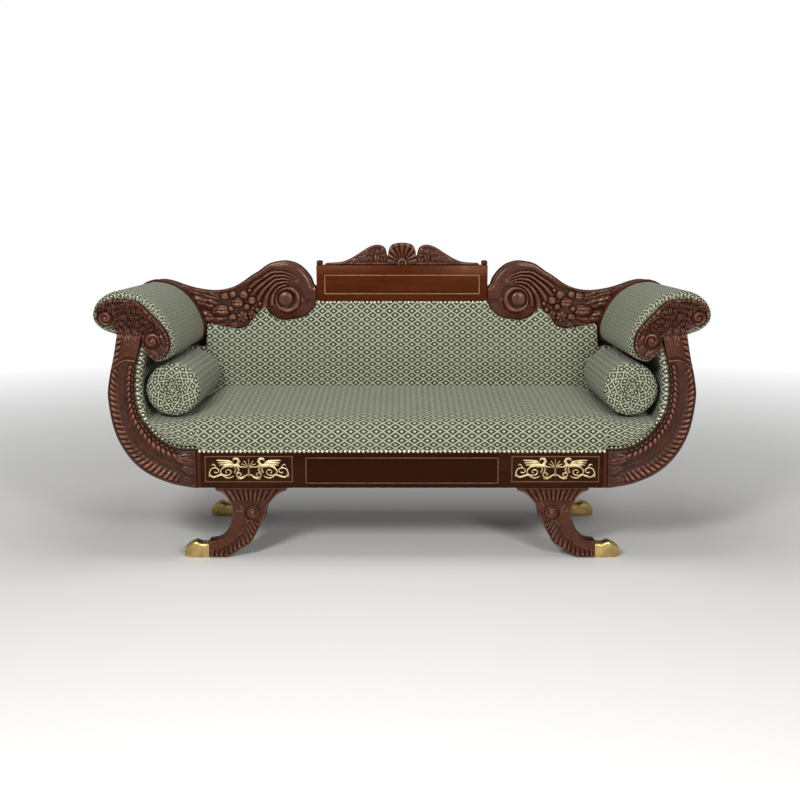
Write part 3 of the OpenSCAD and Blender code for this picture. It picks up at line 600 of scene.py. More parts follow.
@dataclass(frozen=True)
class Polished(Finish):
    """French-polished mahogany in the flat, with its grain along one axis."""

    dark: Triple = (0.045, 0.011, 0.005)
    light: Triple = (0.085, 0.020, 0.008)
    pore: Triple = (0.012, 0.003, 0.002)
    stretch: Triple = (0.12, 1.0, 1.0)
    rough: float = 0.24

    def surface(self, g: Graph, bsdf: Node, coords: Node) -> None:
        """Grain, pores and a slightly uneven polish."""
        place = coords.outputs["Object"]
        grain = Effect.place(g, wood_grain(), Vector=g.stretched(place, self.stretch),
                             Dark=self.dark, Light=self.light, Pore=self.pore)
        haze = g.noise(place, 9.0, 4.0)
        g.feed(bsdf, Base_Color=grain.outputs["Color"],
               Roughness=g.remap(haze, 0.3, 0.7, self.rough - 0.05, self.rough + 0.09),
               Normal=g.bump(grain.outputs["Height"], 0.25, 0.0004),
               Specular_IOR_Level=0.12, Specular_Tint=(1.0, 0.62, 0.42))


@dataclass(frozen=True)
class RailPolish(Polished):
    """Polished rail: darkest in its middle panel, redder at the two ends past a joint."""

    panel: float = 0.318
    joint: float = 0.6655
    deep: Triple = (0.016, 0.0026, 0.0006)
    ends: Triple = (0.062, 0.0170, 0.0085)
    gap: Triple = (0.006, 0.002, 0.001)

    def surface(self, g: Graph, bsdf: Node, coords: Node) -> None:
        """Polish, tinted by how far along the rail it lies."""
        super().surface(g, bsdf, coords)
        base = bsdf.inputs["Base Color"].links[0].from_socket
        parts = g.add("SeparateXYZ")
        g.put(parts.inputs[0], coords.outputs["Object"])
        reach = g.math("ABSOLUTE", parts.outputs[0])
        deep = g.mix(g.remap(reach, self.panel + 0.001, self.panel - 0.001, 0.0, 0.75), base, self.deep)
        ends = g.mix(g.remap(reach, self.joint - 0.0008, self.joint + 0.0008), deep, self.ends)
        seam = g.remap(g.math("ABSOLUTE", g.math("SUBTRACT", reach, self.joint)), 0.0006, 0.0014, 0.85, 0.0)
        g.feed(bsdf, Base_Color=g.mix(seam, ends, self.gap))


@dataclass(frozen=True)
class Carved(Finish):
    """Carved mahogany: dark wax and painted shade in the hollows, rubbed polish and painted highlight on the
    ridges.
    """

    dark: Triple = (0.050, 0.0110, 0.0042)
    light: Triple = (0.086, 0.0195, 0.0080)
    # colour of the hollows: real dark wax and painted shade
    wax: Triple = (0.0055, 0.0016, 0.0008)
    # colour of the ridges: real rubbed polish and painted highlight
    rubbed: Triple = (0.270, 0.125, 0.085)
    stretch: Triple = (0.3, 1.0, 1.0)

    def surface(self, g: Graph, bsdf: Node, coords: Node) -> None:
        """Grain under wax, wear, painted shade and painted highlight that follow the carving."""
        place = coords.outputs["Object"]
        grain = Effect.place(g, wood_grain(), Vector=g.stretched(place, self.stretch),
                             Dark=self.dark, Light=self.light)
        cut = g.add("Attribute", attribute_name="carve")
        # painted shade in the hollows and painted highlight on the ridges, from the carve value
        worn = Effect.place(g, carved_wear(), Vector=place, Height=cut.outputs["Fac"],
                            Color=grain.outputs["Color"], Wax=self.wax, Rubbed=self.rubbed)
        tool = g.noise(place, 170.0, 3.0)
        g.feed(bsdf, Base_Color=worn.outputs["Color"], Roughness=worn.outputs["Roughness"],
               Normal=g.bump(g.math("ADD", grain.outputs["Height"], tool), 0.3, 0.0007),
               Specular_IOR_Level=0.40, Specular_Tint=(1.0, 0.78, 0.66))


@dataclass(frozen=True)
class Inlay(Finish):
    """Pale string wood let into the veneer, yellowed under the polish."""

    tone: Triple = (0.30, 0.145, 0.055)

    def surface(self, g: Graph, bsdf: Node, coords: Node) -> None:
        """Fine grain and uneven yellowing."""
        place = coords.outputs["Object"]
        grain = Effect.place(g, wood_grain(), Vector=g.stretched(place, (0.3, 1, 1)), Dark=self.tone,
                             Light=tuple(1.35 * c for c in self.tone), Pore=tuple(0.4 * c for c in self.tone))
        stain = g.noise(place, 30.0, 4.0)
        aged = g.mix(g.remap(stain, 0.4, 0.7, 0.0, 0.6), grain.outputs["Color"],
                     tuple(0.35 * c for c in self.tone))
        g.feed(bsdf, Base_Color=aged, Roughness=g.remap(stain, 0.3, 0.7, 0.24, 0.38),
               Normal=g.bump(grain.outputs["Height"], 0.2, 0.0003))


@dataclass(frozen=True)
class Sawn(Finish):
    """Unpolished frame wood with saw marks, dust and age."""

    def surface(self, g: Graph, bsdf: Node, coords: Node) -> None:
        """Grain, saw ripples and dirt."""
        place = coords.outputs["Object"]
        grain = Effect.place(g, wood_grain(), Vector=g.stretched(place, (0.2, 1, 1)), Dark=(0.22, 0.12, 0.055),
                             Light=(0.36, 0.22, 0.11), Pore=(0.12, 0.06, 0.03))
        dirt = g.noise(place, 6.0, 6.0, 0.65)
        saw = g.add("TexWave", wave_type="BANDS", bands_direction="DIAGONAL")
        g.feed(saw, Vector=place, Scale=70.0, Distortion=2.0)
        soiled = g.mix(g.remap(dirt, 0.45, 0.75, 0.0, 0.6), grain.outputs["Color"], (0.09, 0.06, 0.04))
        g.feed(bsdf, Base_Color=soiled, Roughness=g.remap(dirt, 0.3, 0.7, 0.62, 0.82),
               Normal=g.bump(g.math("ADD", saw.outputs["Fac"], grain.outputs["Height"]), 0.35, 0.0008))


@dataclass(frozen=True)
class Lattice(Finish):
    """Woven lattice upholstery that follows a piece's own map, in metres."""

    line: Triple = (0.425, 0.435, 0.32)
    eye: Triple = (0.55, 0.56, 0.43)
    ring: Triple = (0.020, 0.024, 0.010)
    ground: Triple = (0.104, 0.119, 0.067)
    worn: Triple = (0.26, 0.27, 0.20)

    def surface(self, g: Graph, bsdf: Node, coords: Node) -> None:
        """Pattern, raised yarns and a soft bloom at grazing angles."""
        cloth = Effect.place(g, lattice_cloth(), Vector=coords.outputs["UV"], Line=self.line, Eye=self.eye,
                             Ring=self.ring, Ground=self.ground, Worn=self.worn)
        fuzz = g.noise(coords.outputs["Object"], 480.0, 3.0)
        relief = g.math("ADD", cloth.outputs["Height"], g.math("MULTIPLY", fuzz, 0.5))
        g.feed(bsdf, Base_Color=cloth.outputs["Color"], Roughness=g.remap(fuzz, 0.3, 0.7, 0.72, 0.92),
               Normal=g.bump(relief, 0.5, 0.0009), Specular_IOR_Level=0.15, Sheen_Weight=0.12,
               Sheen_Roughness=0.45, Sheen_Tint=(0.80, 0.88, 0.82))


@dataclass(frozen=True)
class Coarse(Finish):
    """Coarse plain-woven cloth of the inner seat or the underside."""

    dark: Triple = (0.12, 0.08, 0.04)
    light: Triple = (0.34, 0.24, 0.13)
    pitch: float = 0.004

    def surface(self, g: Graph, bsdf: Node, coords: Node) -> None:
        """Crossed yarns with slubs."""
        yarn = Effect.place(g, plain_weave(), Vector=coords.outputs["Object"], Pitch=self.pitch, Dark=self.dark,
                            Light=self.light)
        g.feed(bsdf, Base_Color=yarn.outputs["Color"], Roughness=0.88, Specular_IOR_Level=0.2,
               Normal=g.bump(yarn.outputs["Height"], 0.6, 0.25 * self.pitch))


@dataclass(frozen=True)
class Metal(Finish):
    """Metal with tarnish in its hollows and brighter rubbed places."""

    bright: Triple = (0.62, 0.40, 0.13)
    dull: Triple = (0.22, 0.13, 0.04)
    rough: float = 0.30
    grain: float = 60.0
    patches: float = 0.75
    skin: float = 0.22

    def surface(self, g: Graph, bsdf: Node, coords: Node) -> None:
        """Cast skin, tarnish and rubbed edges."""
        place = coords.outputs["Object"]
        cut = g.add("Attribute", attribute_name="carve")
        spots = g.noise(place, self.grain, 5.0, 0.6)
        rub = g.math("ADD", g.remap(spots, 0.35, 0.62, 0.75 - self.patches, 0.75),
                     g.math("MULTIPLY", cut.outputs["Fac"], 0.45))
        skin = g.noise(place, 420.0, 3.0)
        g.feed(bsdf, Base_Color=g.mix(g.remap(rub, 0.1, 1.0), self.dull, self.bright), Metallic=1.0,
               Roughness=g.remap(spots, 0.35, 0.65, self.rough + 0.14, self.rough),
               Normal=g.bump(g.math("ADD", skin, spots), self.skin, 0.0008))


class Look:
    """The finishes of the sofa."""

    CARVED = Carved("carved_mahogany")
    RAIL = RailPolish("rail_mahogany", dark=(0.016, 0.0038, 0.0012), light=(0.031, 0.0084, 0.0026))
    VENEER = Polished("tablet_veneer", dark=(0.052, 0.0092, 0.0017), light=(0.098, 0.0195, 0.0036), rough=0.26)
    BACK_WOOD = Polished("post_mahogany", stretch=(1.0, 1.0, 0.2))
    STRING = Inlay("string_inlay")
    RAIL_STRING = Inlay("rail_string", tone=(0.115, 0.045, 0.018))
    FRAME = Sawn("sawn_deal")
    CLOTH = Lattice("lattice_upholstery")
    JUTE = Coarse("jute_webbing")
    HESSIAN = Coarse("spring_hessian", dark=(0.15, 0.10, 0.05), light=(0.38, 0.28, 0.16), pitch=0.003)
    CAMBRIC = Coarse("dust_cambric", dark=(0.010, 0.010, 0.010), light=(0.035, 0.034, 0.032), pitch=0.0016)
    BRASS = Metal("gilt_brass", bright=(0.74, 0.54, 0.22), dull=(0.24, 0.155, 0.055), rough=0.26, grain=26.0,
                  patches=0.40, skin=0.07)
    MOUNT = Metal("mount_gilt", bright=(0.80, 0.63, 0.37), dull=(0.24, 0.165, 0.075), rough=0.36)
    NAILS = Metal("nail_brass", bright=(0.72, 0.65, 0.50), dull=(0.24, 0.19, 0.13), rough=0.38, grain=110.0)
    STEEL = Metal("spring_wire", bright=(0.42, 0.42, 0.42), dull=(0.14, 0.12, 0.11), rough=0.4)


def solo(obj: Piece) -> None:
    """Selects one object alone and makes it active."""
    bpy.ops.object.select_all(action="DESELECT")
    obj.select_set(True)
    bpy.context.view_layer.objects.active = obj


def read_points(obj: Piece) -> Array:
    """Vertex places of a mesh, one row each."""
    flat = np.empty(len(obj.data.vertices) * 3)
    obj.data.vertices.foreach_get("co", flat)
    return flat.reshape(-1, 3)


def write_points(obj: Piece, points: Array) -> None:
    """Moves the vertices of a mesh to new places."""
    obj.data.vertices.foreach_set("co", np.ascontiguousarray(points, float).ravel())
    obj.data.update()


def write_map(obj: Piece, coords: Array) -> None:
    """Writes a map, in metres, from one place on the cloth for each vertex.

    Args:
        obj: The piece.
        coords: Place on the flat cloth of each vertex.
    """
    mesh = obj.data
    corner = np.empty(len(mesh.loops), int)
    mesh.loops.foreach_get("vertex_index", corner)
    layer = mesh.uv_layers.active or mesh.uv_layers.new(name="cloth")
    layer.name = "cloth"
    layer.data.foreach_set("uv", coords[corner].ravel())


def write_carve(obj: Piece, values: Array) -> None:
    """Writes how high each vertex stands in its carving, from 0 to 1."""
    layer = obj.data.attributes.get("carve") or obj.data.attributes.new("carve", "FLOAT", "POINT")
    layer.data.foreach_set("value", np.clip(values, 0, 1).astype(np.float32))


def in_edit(obj: Piece, mode: str, select: Array | None, *steps: Callable[[], object]) -> None:
    """Runs edit-mode operators on some vertices of a piece.

    Args:
        obj: The piece.
        mode: Selection mode, VERT, EDGE or FACE.
        select: Which elements are selected, or None for all.
        steps: The operators, in order.
    """
    solo(obj)
    bpy.ops.object.mode_set(mode="EDIT")
    bpy.ops.mesh.select_mode(type=mode)
    bpy.ops.mesh.select_all(action="SELECT" if select is None else "DESELECT")
    if select is not None:
        bpy.ops.object.mode_set(mode="OBJECT")
        items = {"VERT": obj.data.vertices, "EDGE": obj.data.edges, "FACE": obj.data.polygons}[mode]
        items.foreach_set("select", np.asarray(select, bool))
        bpy.ops.object.mode_set(mode="EDIT")
    for step in steps:
        step()
    bpy.ops.object.mode_set(mode="OBJECT")


def outward(obj: Piece) -> None:
    """Merges doubles and turns all faces of a closed piece outwards."""
    in_edit(obj, "VERT", None, lambda: bpy.ops.mesh.remove_doubles(threshold=1e-5),
            lambda: bpy.ops.mesh.normals_make_consistent(inside=False))


def smooth(obj: Piece, angle: float = 35.0) -> None:
    """Shades a piece smooth, with sharp edges past an angle in degrees."""
    solo(obj)
    bpy.ops.object.shade_smooth_by_angle(angle=math.radians(angle))


def apply_modifiers(obj: Piece) -> None:
    """Applies every modifier of a piece."""
    solo(obj)
    for mod in list(obj.modifiers):
        bpy.ops.object.modifier_apply(modifier=mod.name)


def named(name: str) -> Piece:
    """Names the piece that an operator has just made."""
    obj = bpy.context.object
    obj.name = obj.data.name = name
    return obj


def rim_edges(obj: Piece) -> Array:
    """Which edges have only one face."""
    count = np.zeros(len(obj.data.edges), int)
    edge = np.empty(len(obj.data.loops), int)
    obj.data.loops.foreach_get("edge_index", edge)
    np.add.at(count, edge, 1)
    return count == 1


def sealed(obj: Piece, angle: float = 75.0, merge: float = 2e-5) -> None:
    """Merges the seam of a piece, caps its open ends and shades it smooth.

    Args:
        obj: The piece.
        angle: Edges past this angle, in degrees, stay sharp.
        merge: Distance within which vertices merge.
    """
    in_edit(obj, "VERT", None, lambda: bpy.ops.mesh.remove_doubles(threshold=merge))
    if rim_edges(obj).any():
        in_edit(obj, "EDGE", rim_edges(obj), lambda: bpy.ops.mesh.edge_face_add())
    outward(obj)
    smooth(obj, angle)


def grid_piece(name: str, nu: int, nv: int,
               place: Form) -> tuple[Piece, Array, Array]:
    """Lays a fine grid over a form.

    Args:
        name: The piece's name.
        nu: Cells along the first way.
        nv: Cells along the second way.
        place: Gives each vertex its place from its two shares.

    Returns:
        The piece and the two shares of each vertex.
    """
    bpy.ops.object.select_all(action="DESELECT")
    bpy.ops.mesh.primitive_grid_add(x_subdivisions=nu, y_subdivisions=nv, size=2.0, location=(0, 0, 0))
    obj = named(name)
    flat = read_points(obj)
    u, v = (flat[:, 0] + 1) / 2, (flat[:, 1] + 1) / 2
    write_points(obj, place(u, v))
    return obj, u, v


def joined(name: str, parts: Sequence[Piece]) -> Piece:
    """Joins parts into one piece."""
    bpy.ops.object.select_all(action="DESELECT")
    for part in parts:
        part.select_set(True)
    bpy.context.view_layer.objects.active = parts[0]
    bpy.ops.object.join()
    return named(name)


def copied(obj: Piece, old: str, new: str) -> Piece:
    """Copies a piece with its mesh, under its name with one word changed."""
    solo(obj)
    bpy.ops.object.duplicate(linked=False)
    return named(obj.name.replace(old, new))


def bevelled_box(name: str, centre: Sequence[float], size: Sequence[float], edge: float,
                 segments: int = 3) -> Piece:
    """A board with softened edges.

    Args:
        name: The piece's name.
        centre: Its middle.
        size: Its size.
        edge: Radius of its edges.
        segments: Steps in each softened edge.

    Returns:
        The board.
    """
    bpy.ops.object.select_all(action="DESELECT")
    bpy.ops.mesh.primitive_cube_add(size=1.0, location=(0, 0, 0))
    obj = named(name)
    write_points(obj, read_points(obj) * np.asarray(size) + np.asarray(centre))
    bevel = obj.modifiers.new("edge", "BEVEL")
    bevel.width, bevel.segments = edge, segments
    apply_modifiers(obj)
    smooth(obj)
    return obj


def dressed(obj: Piece, finish: Finish, slot: Slot, body: str, *nodes: str) -> Piece:
    """Gives a piece its finish and its body.

    Args:
        obj: The piece.
        finish: Its finish.
        slot: Not used.
        body: The body it rides on.
        nodes: CAD nodes that it stands for.

    Returns:
        The piece.
    """
    obj.data.materials.clear()
    obj.data.materials.append(finish.material())
    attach(obj, body)
    if nodes:
        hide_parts(*nodes)
    LOG.info("%s: %d faces", obj.name, len(obj.data.polygons))
    return obj


def pair(right: Piece, finish: Finish, slot: Slot, node: str, body: str | None = None,
         soft: Callable[[Piece, Side], object] | None = None) -> None:
    """Mirrors a right-hand piece to the left and dresses both.

    Args:
        right: The right-hand piece.
        finish: Their finish.
        slot: The record's slot.
        node: The CAD nodes that they stand for, without the side.
        body: The bodies that they ride on, without the side, if not the sofa.
        soft: Called with each piece and its side.
    """
    left = copied(right, "right", "left")
    write_points(left, read_points(left) * (-1, 1, 1))
    left.data.flip_normals()
    for obj, side in ((right, Side.RIGHT), (left, Side.LEFT)):
        if soft:
            soft(obj, side)
        dressed(obj, finish, slot, f"{body}_{side.word}" if body else BODY, f"{node}_{side.word}")


def nearest(x: Array, z: Array, line: Array, closed: bool = False) -> tuple[Array, Array, Array]:
    """Finds how far places lie from a line in the front plane.

    Args:
        x, z: Places in the front plane.
        line: Points along the line.
        closed: Whether its last point joins its first.

    Returns:
        Distance, share of the way along the line, and side (left of it is positive).
    """
    a = line
    b = np.roll(line, -1, axis=0)
    if not closed:
        a, b = a[:-1], b[:-1]
    run = np.linalg.norm(b - a, axis=1)
    start = np.concatenate([[0.0], np.cumsum(run)])
    best = np.full(x.shape, 1e9)
    share, side = np.zeros(x.shape), np.ones(x.shape)
    for i in range(len(a)):
        d = b[i] - a[i]
        px, pz = x - a[i, 0], z - a[i, 1]
        f = np.clip((px * d[0] + pz * d[1]) / max(run[i] ** 2, 1e-12), 0, 1)
        dist = np.hypot(px - f * d[0], pz - f * d[1])
        closer = dist < best
        best = np.where(closer, dist, best)
        share = np.where(closer, (start[i] + f * run[i]) / start[-1], share)
        side = np.where(closer, np.sign(d[0] * pz - d[1] * px), side)
    return best, share, side


def inside(x: Array, z: Array, line: Array) -> Array:
    """Tells which places lie inside a closed line."""
    hit = np.zeros(x.shape, bool)
    for a, b in zip(line, np.roll(line, -1, axis=0)):
        if a[1] == b[1]:
            continue
        cross = (a[1] > z) != (b[1] > z)
        hit ^= cross & (x < (b[0] - a[0]) * (z - a[1]) / (b[1] - a[1]) + a[0])
    return hit


def leaf(x: Array, z: Array, at: Point, angle: float, long: float, wide: float, high: float,
         bend: float = 0.0, lobes: float = 5.0, cut: float = 0.32) -> Array:
    """Height of a carved leaf with lobes, veins and a sunk midrib.

    Args:
        x, z: Places in the front plane.
        at: Root of the leaf.
        angle: Its direction in degrees.
        long: Its length.
        wide: Its width.
        high: Its height over the ground.
        bend: How far its tip turns to its left, as a share of its length.
        lobes: Lobes on each side.
        cut: Depth of the notches between them.

    Returns:
        Its height at each place, below zero outside it.
    """
    a = math.radians(angle)
    dx, dz = x - at[0], z - at[1]
    s = (dx * math.cos(a) + dz * math.sin(a)) / long
    w = -dx * math.sin(a) + dz * math.cos(a) - bend * long * s * np.abs(s)
    body = np.sin(np.pi * np.clip(s, 0, 1) ** 0.75) ** 0.7
    turn = lobes * (s - 0.30 * np.abs(w) / long * 2)
    notch = np.abs(np.cos(np.pi * turn)) ** 4
    half = 0.5 * wide * body * (1 - cut * notch) + 1e-6
    dome = hump(w / half, 0.45)
    vein = 1 - 0.34 * notch - 0.30 * np.exp(-(w / (0.075 * wide)) ** 2)
    tip = 0.62 + 0.38 * np.sin(np.pi * np.clip(s, 0, 1) ** 1.6)
    level = high * dome * vein * tip
    return np.where((s > 0) & (s < 1) & (np.abs(w) < half), level, -1.0)


def curl(x: Array, z: Array, at: Point, angle: float, long: float, wide: float, high: float) -> Array:
    """Height of a small curled leaf that rises to its tip and drops off sharply there.

    Args:
        x, z: Places in the front plane.
        at: Root of the leaf.
        angle: Its direction in degrees.
        long: Its length.
        wide: Its width.
        high: Height of its tip over the ground.

    Returns:
        Its height at each place, below zero outside it.
    """
    a = math.radians(angle)
    dx, dz = x - at[0], z - at[1]
    s = (dx * math.cos(a) + dz * math.sin(a)) / long
    w = dz * math.cos(a) - dx * math.sin(a)
    c = np.clip(s, 0, 1)
    notch = 1 - 0.26 * np.abs(np.cos(3 * np.pi * s)) ** 3
    half = 0.5 * wide * np.sin(np.pi * c ** 0.62) ** 0.7 * notch + 1e-6
    level = high * (0.20 + 0.80 * c ** 0.8) * hump(w / half, 0.38)
    level = level * (1 - 0.38 * np.exp(-(w / (0.10 * wide)) ** 2) * (c < 0.8))
    return np.where((s > 0) & (s < 1) & (np.abs(w) < half), level, -1.0)


def volute(x: Array, z: Array, at: Point, radius: float, high: float, turns: float = 2.0, start: float = 0.0,
           sense: int = 1, eye: float = 0.24) -> Array:
    """Height of a carved spiral that rises to a round eye.

    Args:
        x, z: Places in the front plane.
        at: Its centre.
        radius: Its radius.
        high: Height of its eye over the ground.
        turns: Turns from the rim to the eye.
        start: Where it begins, in turns.
        sense: 1 for anticlockwise inwards, -1 for clockwise.
        eye: Radius of the eye, as a share.

    Returns:
        Its height at each place, below zero outside it.
    """
    dx, dz = x - at[0], z - at[1]
    r = np.hypot(dx, dz) / radius
    wave = (turns * r ** 0.85 + sense * np.arctan2(dz, dx) / (2 * np.pi) + start) % 1
    ridge = np.sin(np.pi * wave) ** 0.55
    level = high * (0.30 + 0.50 * (1 - r) + 0.42 * (ridge - 0.45))
    ball = high * (0.62 + 0.48 * hump(r / eye))
    return np.where(r < eye, np.maximum(ball, level * 0.5), np.where(r < 1, level, -1.0))


def berry(x: Array, z: Array, at: Point, radius: float, high: float, dimple: float = 0.25) -> Array:
    """Height of a round fruit with a dimple in it.

    Args:
        x, z: Places in the front plane.
        at: Its centre.
        radius: Its radius.
        high: Its height over the ground.
        dimple: Depth of the dimple, as a share.

    Returns:
        Its height at each place, below zero outside it.
    """
    r = np.hypot(x - at[0], z - at[1]) / radius
    rise = hump(r) * 0.85 + 0.15 - dimple * np.exp(-(r / 0.16) ** 2)
    return np.where(r < 1, high * rise, -1.0)


def ridges(phase: Array, power: float = 0.6) -> Array:
    """Rounded ribs with sharp hollows between them, one for each whole step of the phase."""
    return np.abs(np.sin(np.pi * phase)) ** power


def blurred(field: Array, reach: int) -> Array:
    """Averages a field over a square of its neighbours, three times."""
    for _ in range(3):
        for axis in (0, 1):
            pad = [(reach, reach) if k == axis else (0, 0) for k in (0, 1)]
            total = np.cumsum(np.pad(field, pad, mode="edge"), axis=axis)
            lead = np.take(total, range(2 * reach, total.shape[axis]), axis=axis)
            start = np.zeros_like(np.take(total, [0], axis=axis))
            behind = np.take(total, range(0, total.shape[axis] - 2 * reach - 1), axis=axis)
            lag = np.concatenate([start, behind], axis=axis)
            field = (lead - lag) / (2 * reach + 1)
    return field


def cavity(u: Array, v: Array, height: Array, reach: int, scale: float, rise: float = 0.34) -> Array:
    """How far each vertex of a grid stands out of its surroundings, about 0.5 on plain ground.

    Args:
        u: First share of each vertex.
        v: Second share of each vertex.
        height: Its height.
        reach: Cells round a vertex that count.
        scale: Height that makes the full difference.
        rise: Share that the height itself adds.

    Returns:
        A value from 0, in a hollow, to 1, on a ridge.
    """
    order = np.lexsort((u.round(6), v.round(6)))
    columns = len(np.unique(u.round(6)))
    field = height[order].reshape(-1, columns)
    low, top = np.percentile(field, (5, 98))
    # this value is the mask of painted shade in the hollows and painted highlight on the ridges; the rise term
    # also paints low ground darker
    ground = rise * ((field - low) / max(top - low, 1e-6) - 0.5)
    share = np.clip(0.5 + (field - blurred(field, reach)) / scale + ground, 0, 1).ravel()
    out = np.empty_like(share)
    out[order] = share
    return out


@dataclass
class Board:
    """A carved board: an outline in the front plane with a relief on its face."""

    outline: Array
    face: float
    back: float
    step: float
    relief: Callable[[Array, Array, Array], Array]
    round_over: float = 0.004
    # lowers the carve value of the whole board, so more of it takes the dark wax and painted shade colour of
    # the hollows
    dirt: float = 0.0
    flush: bool = False
    reach: float = 0.0045
    contrast: float = 0.0075

    def build(self, name: str) -> Piece:
        """Cuts the board out of a fine grid and carves it.

        Args:
            name: The piece's name.

        Returns:
            The closed board.
        """
        low, high = self.outline.min(0) - self.step, self.outline.max(0) + self.step
        size = high - low
        obj, u, v = grid_piece(name, max(2, round(size[0] / self.step)), max(2, round(size[1] / self.step)),
                               lambda a, b: spots_of(low[0] + a * size[0], self.face, low[1] + b * size[1]))
        spots = read_points(obj)
        x, z = spots[:, 0], spots[:, 2]
        away, _, _ = nearest(x, z, self.outline, closed=not self.flush)
        depth = np.where(inside(x, z, self.outline), away, -away)
        level = self.relief(x, z, depth)
        level = level - self.round_over * (1 - ease(depth / self.round_over / 1.5)) ** 2
        near = max(2, round(self.reach / self.step))
        # painted shade in the hollows and painted highlight on the ridges, from the cavity of the relief
        write_carve(obj, cavity(u, v, level, near, self.contrast) - self.dirt)
        write_points(obj, spots_of(x, self.face - level, z))
        in_edit(obj, "VERT", depth < -0.45 * self.step, lambda: bpy.ops.mesh.delete(type="VERT"),
                lambda: bpy.ops.mesh.select_all(action="SELECT"),
                lambda: bpy.ops.mesh.delete_loose(use_verts=True, use_edges=True, use_faces=False))
        ends = np.empty(len(obj.data.edges) * 2, int)
        obj.data.edges.foreach_get("vertices", ends)
        on_rim = np.unique(ends.reshape(-1, 2)[rim_edges(obj)])
        spots = read_points(obj)
        spots[on_rim] = self.snapped(spots[on_rim])
        write_points(obj, spots)
        self.close(obj, self.back)
        return obj

    @staticmethod
    def close(obj: Piece, back: float) -> None:
        """Draws the rim of a carved face back to a plane and closes it there.

        Args:
            obj: The carved face.
            back: The plane behind it.
        """
        in_edit(obj, "EDGE", rim_edges(obj), lambda: bpy.ops.mesh.extrude_edges_move(),
                lambda: bpy.ops.transform.resize(value=(1, 0, 1)), lambda: bpy.ops.mesh.edge_face_add())
        chosen, cut = np.zeros(len(obj.data.vertices), bool), np.empty(len(obj.data.vertices))
        obj.data.vertices.foreach_get("select", chosen)
        obj.data.attributes["carve"].data.foreach_get("value", cut)
        write_carve(obj, np.where(chosen, 0.55, cut))
        spots = read_points(obj)
        spots[chosen, 1] = back
        write_points(obj, spots)
        outward(obj)
        smooth(obj, 50.0)

    def snapped(self, spots: Array) -> Array:
        """Moves places to the nearest place on the outline."""
        a, b = self.outline, np.roll(self.outline, -1, axis=0)
        best = np.full(len(spots), 1e9)
        out = spots.copy()
        for p, q in zip(a, b):
            d = q - p
            f = np.clip(((spots[:, [0, 2]] - p) @ d) / max(d @ d, 1e-12), 0, 1)
            spot = p + f[:, None] * d
            dist = np.linalg.norm(spots[:, [0, 2]] - spot, axis=1)
            closer = dist < best
            best = np.where(closer, dist, best)
            out[closer, 0], out[closer, 2] = spot[closer, 0], spot[closer, 1]
        return out


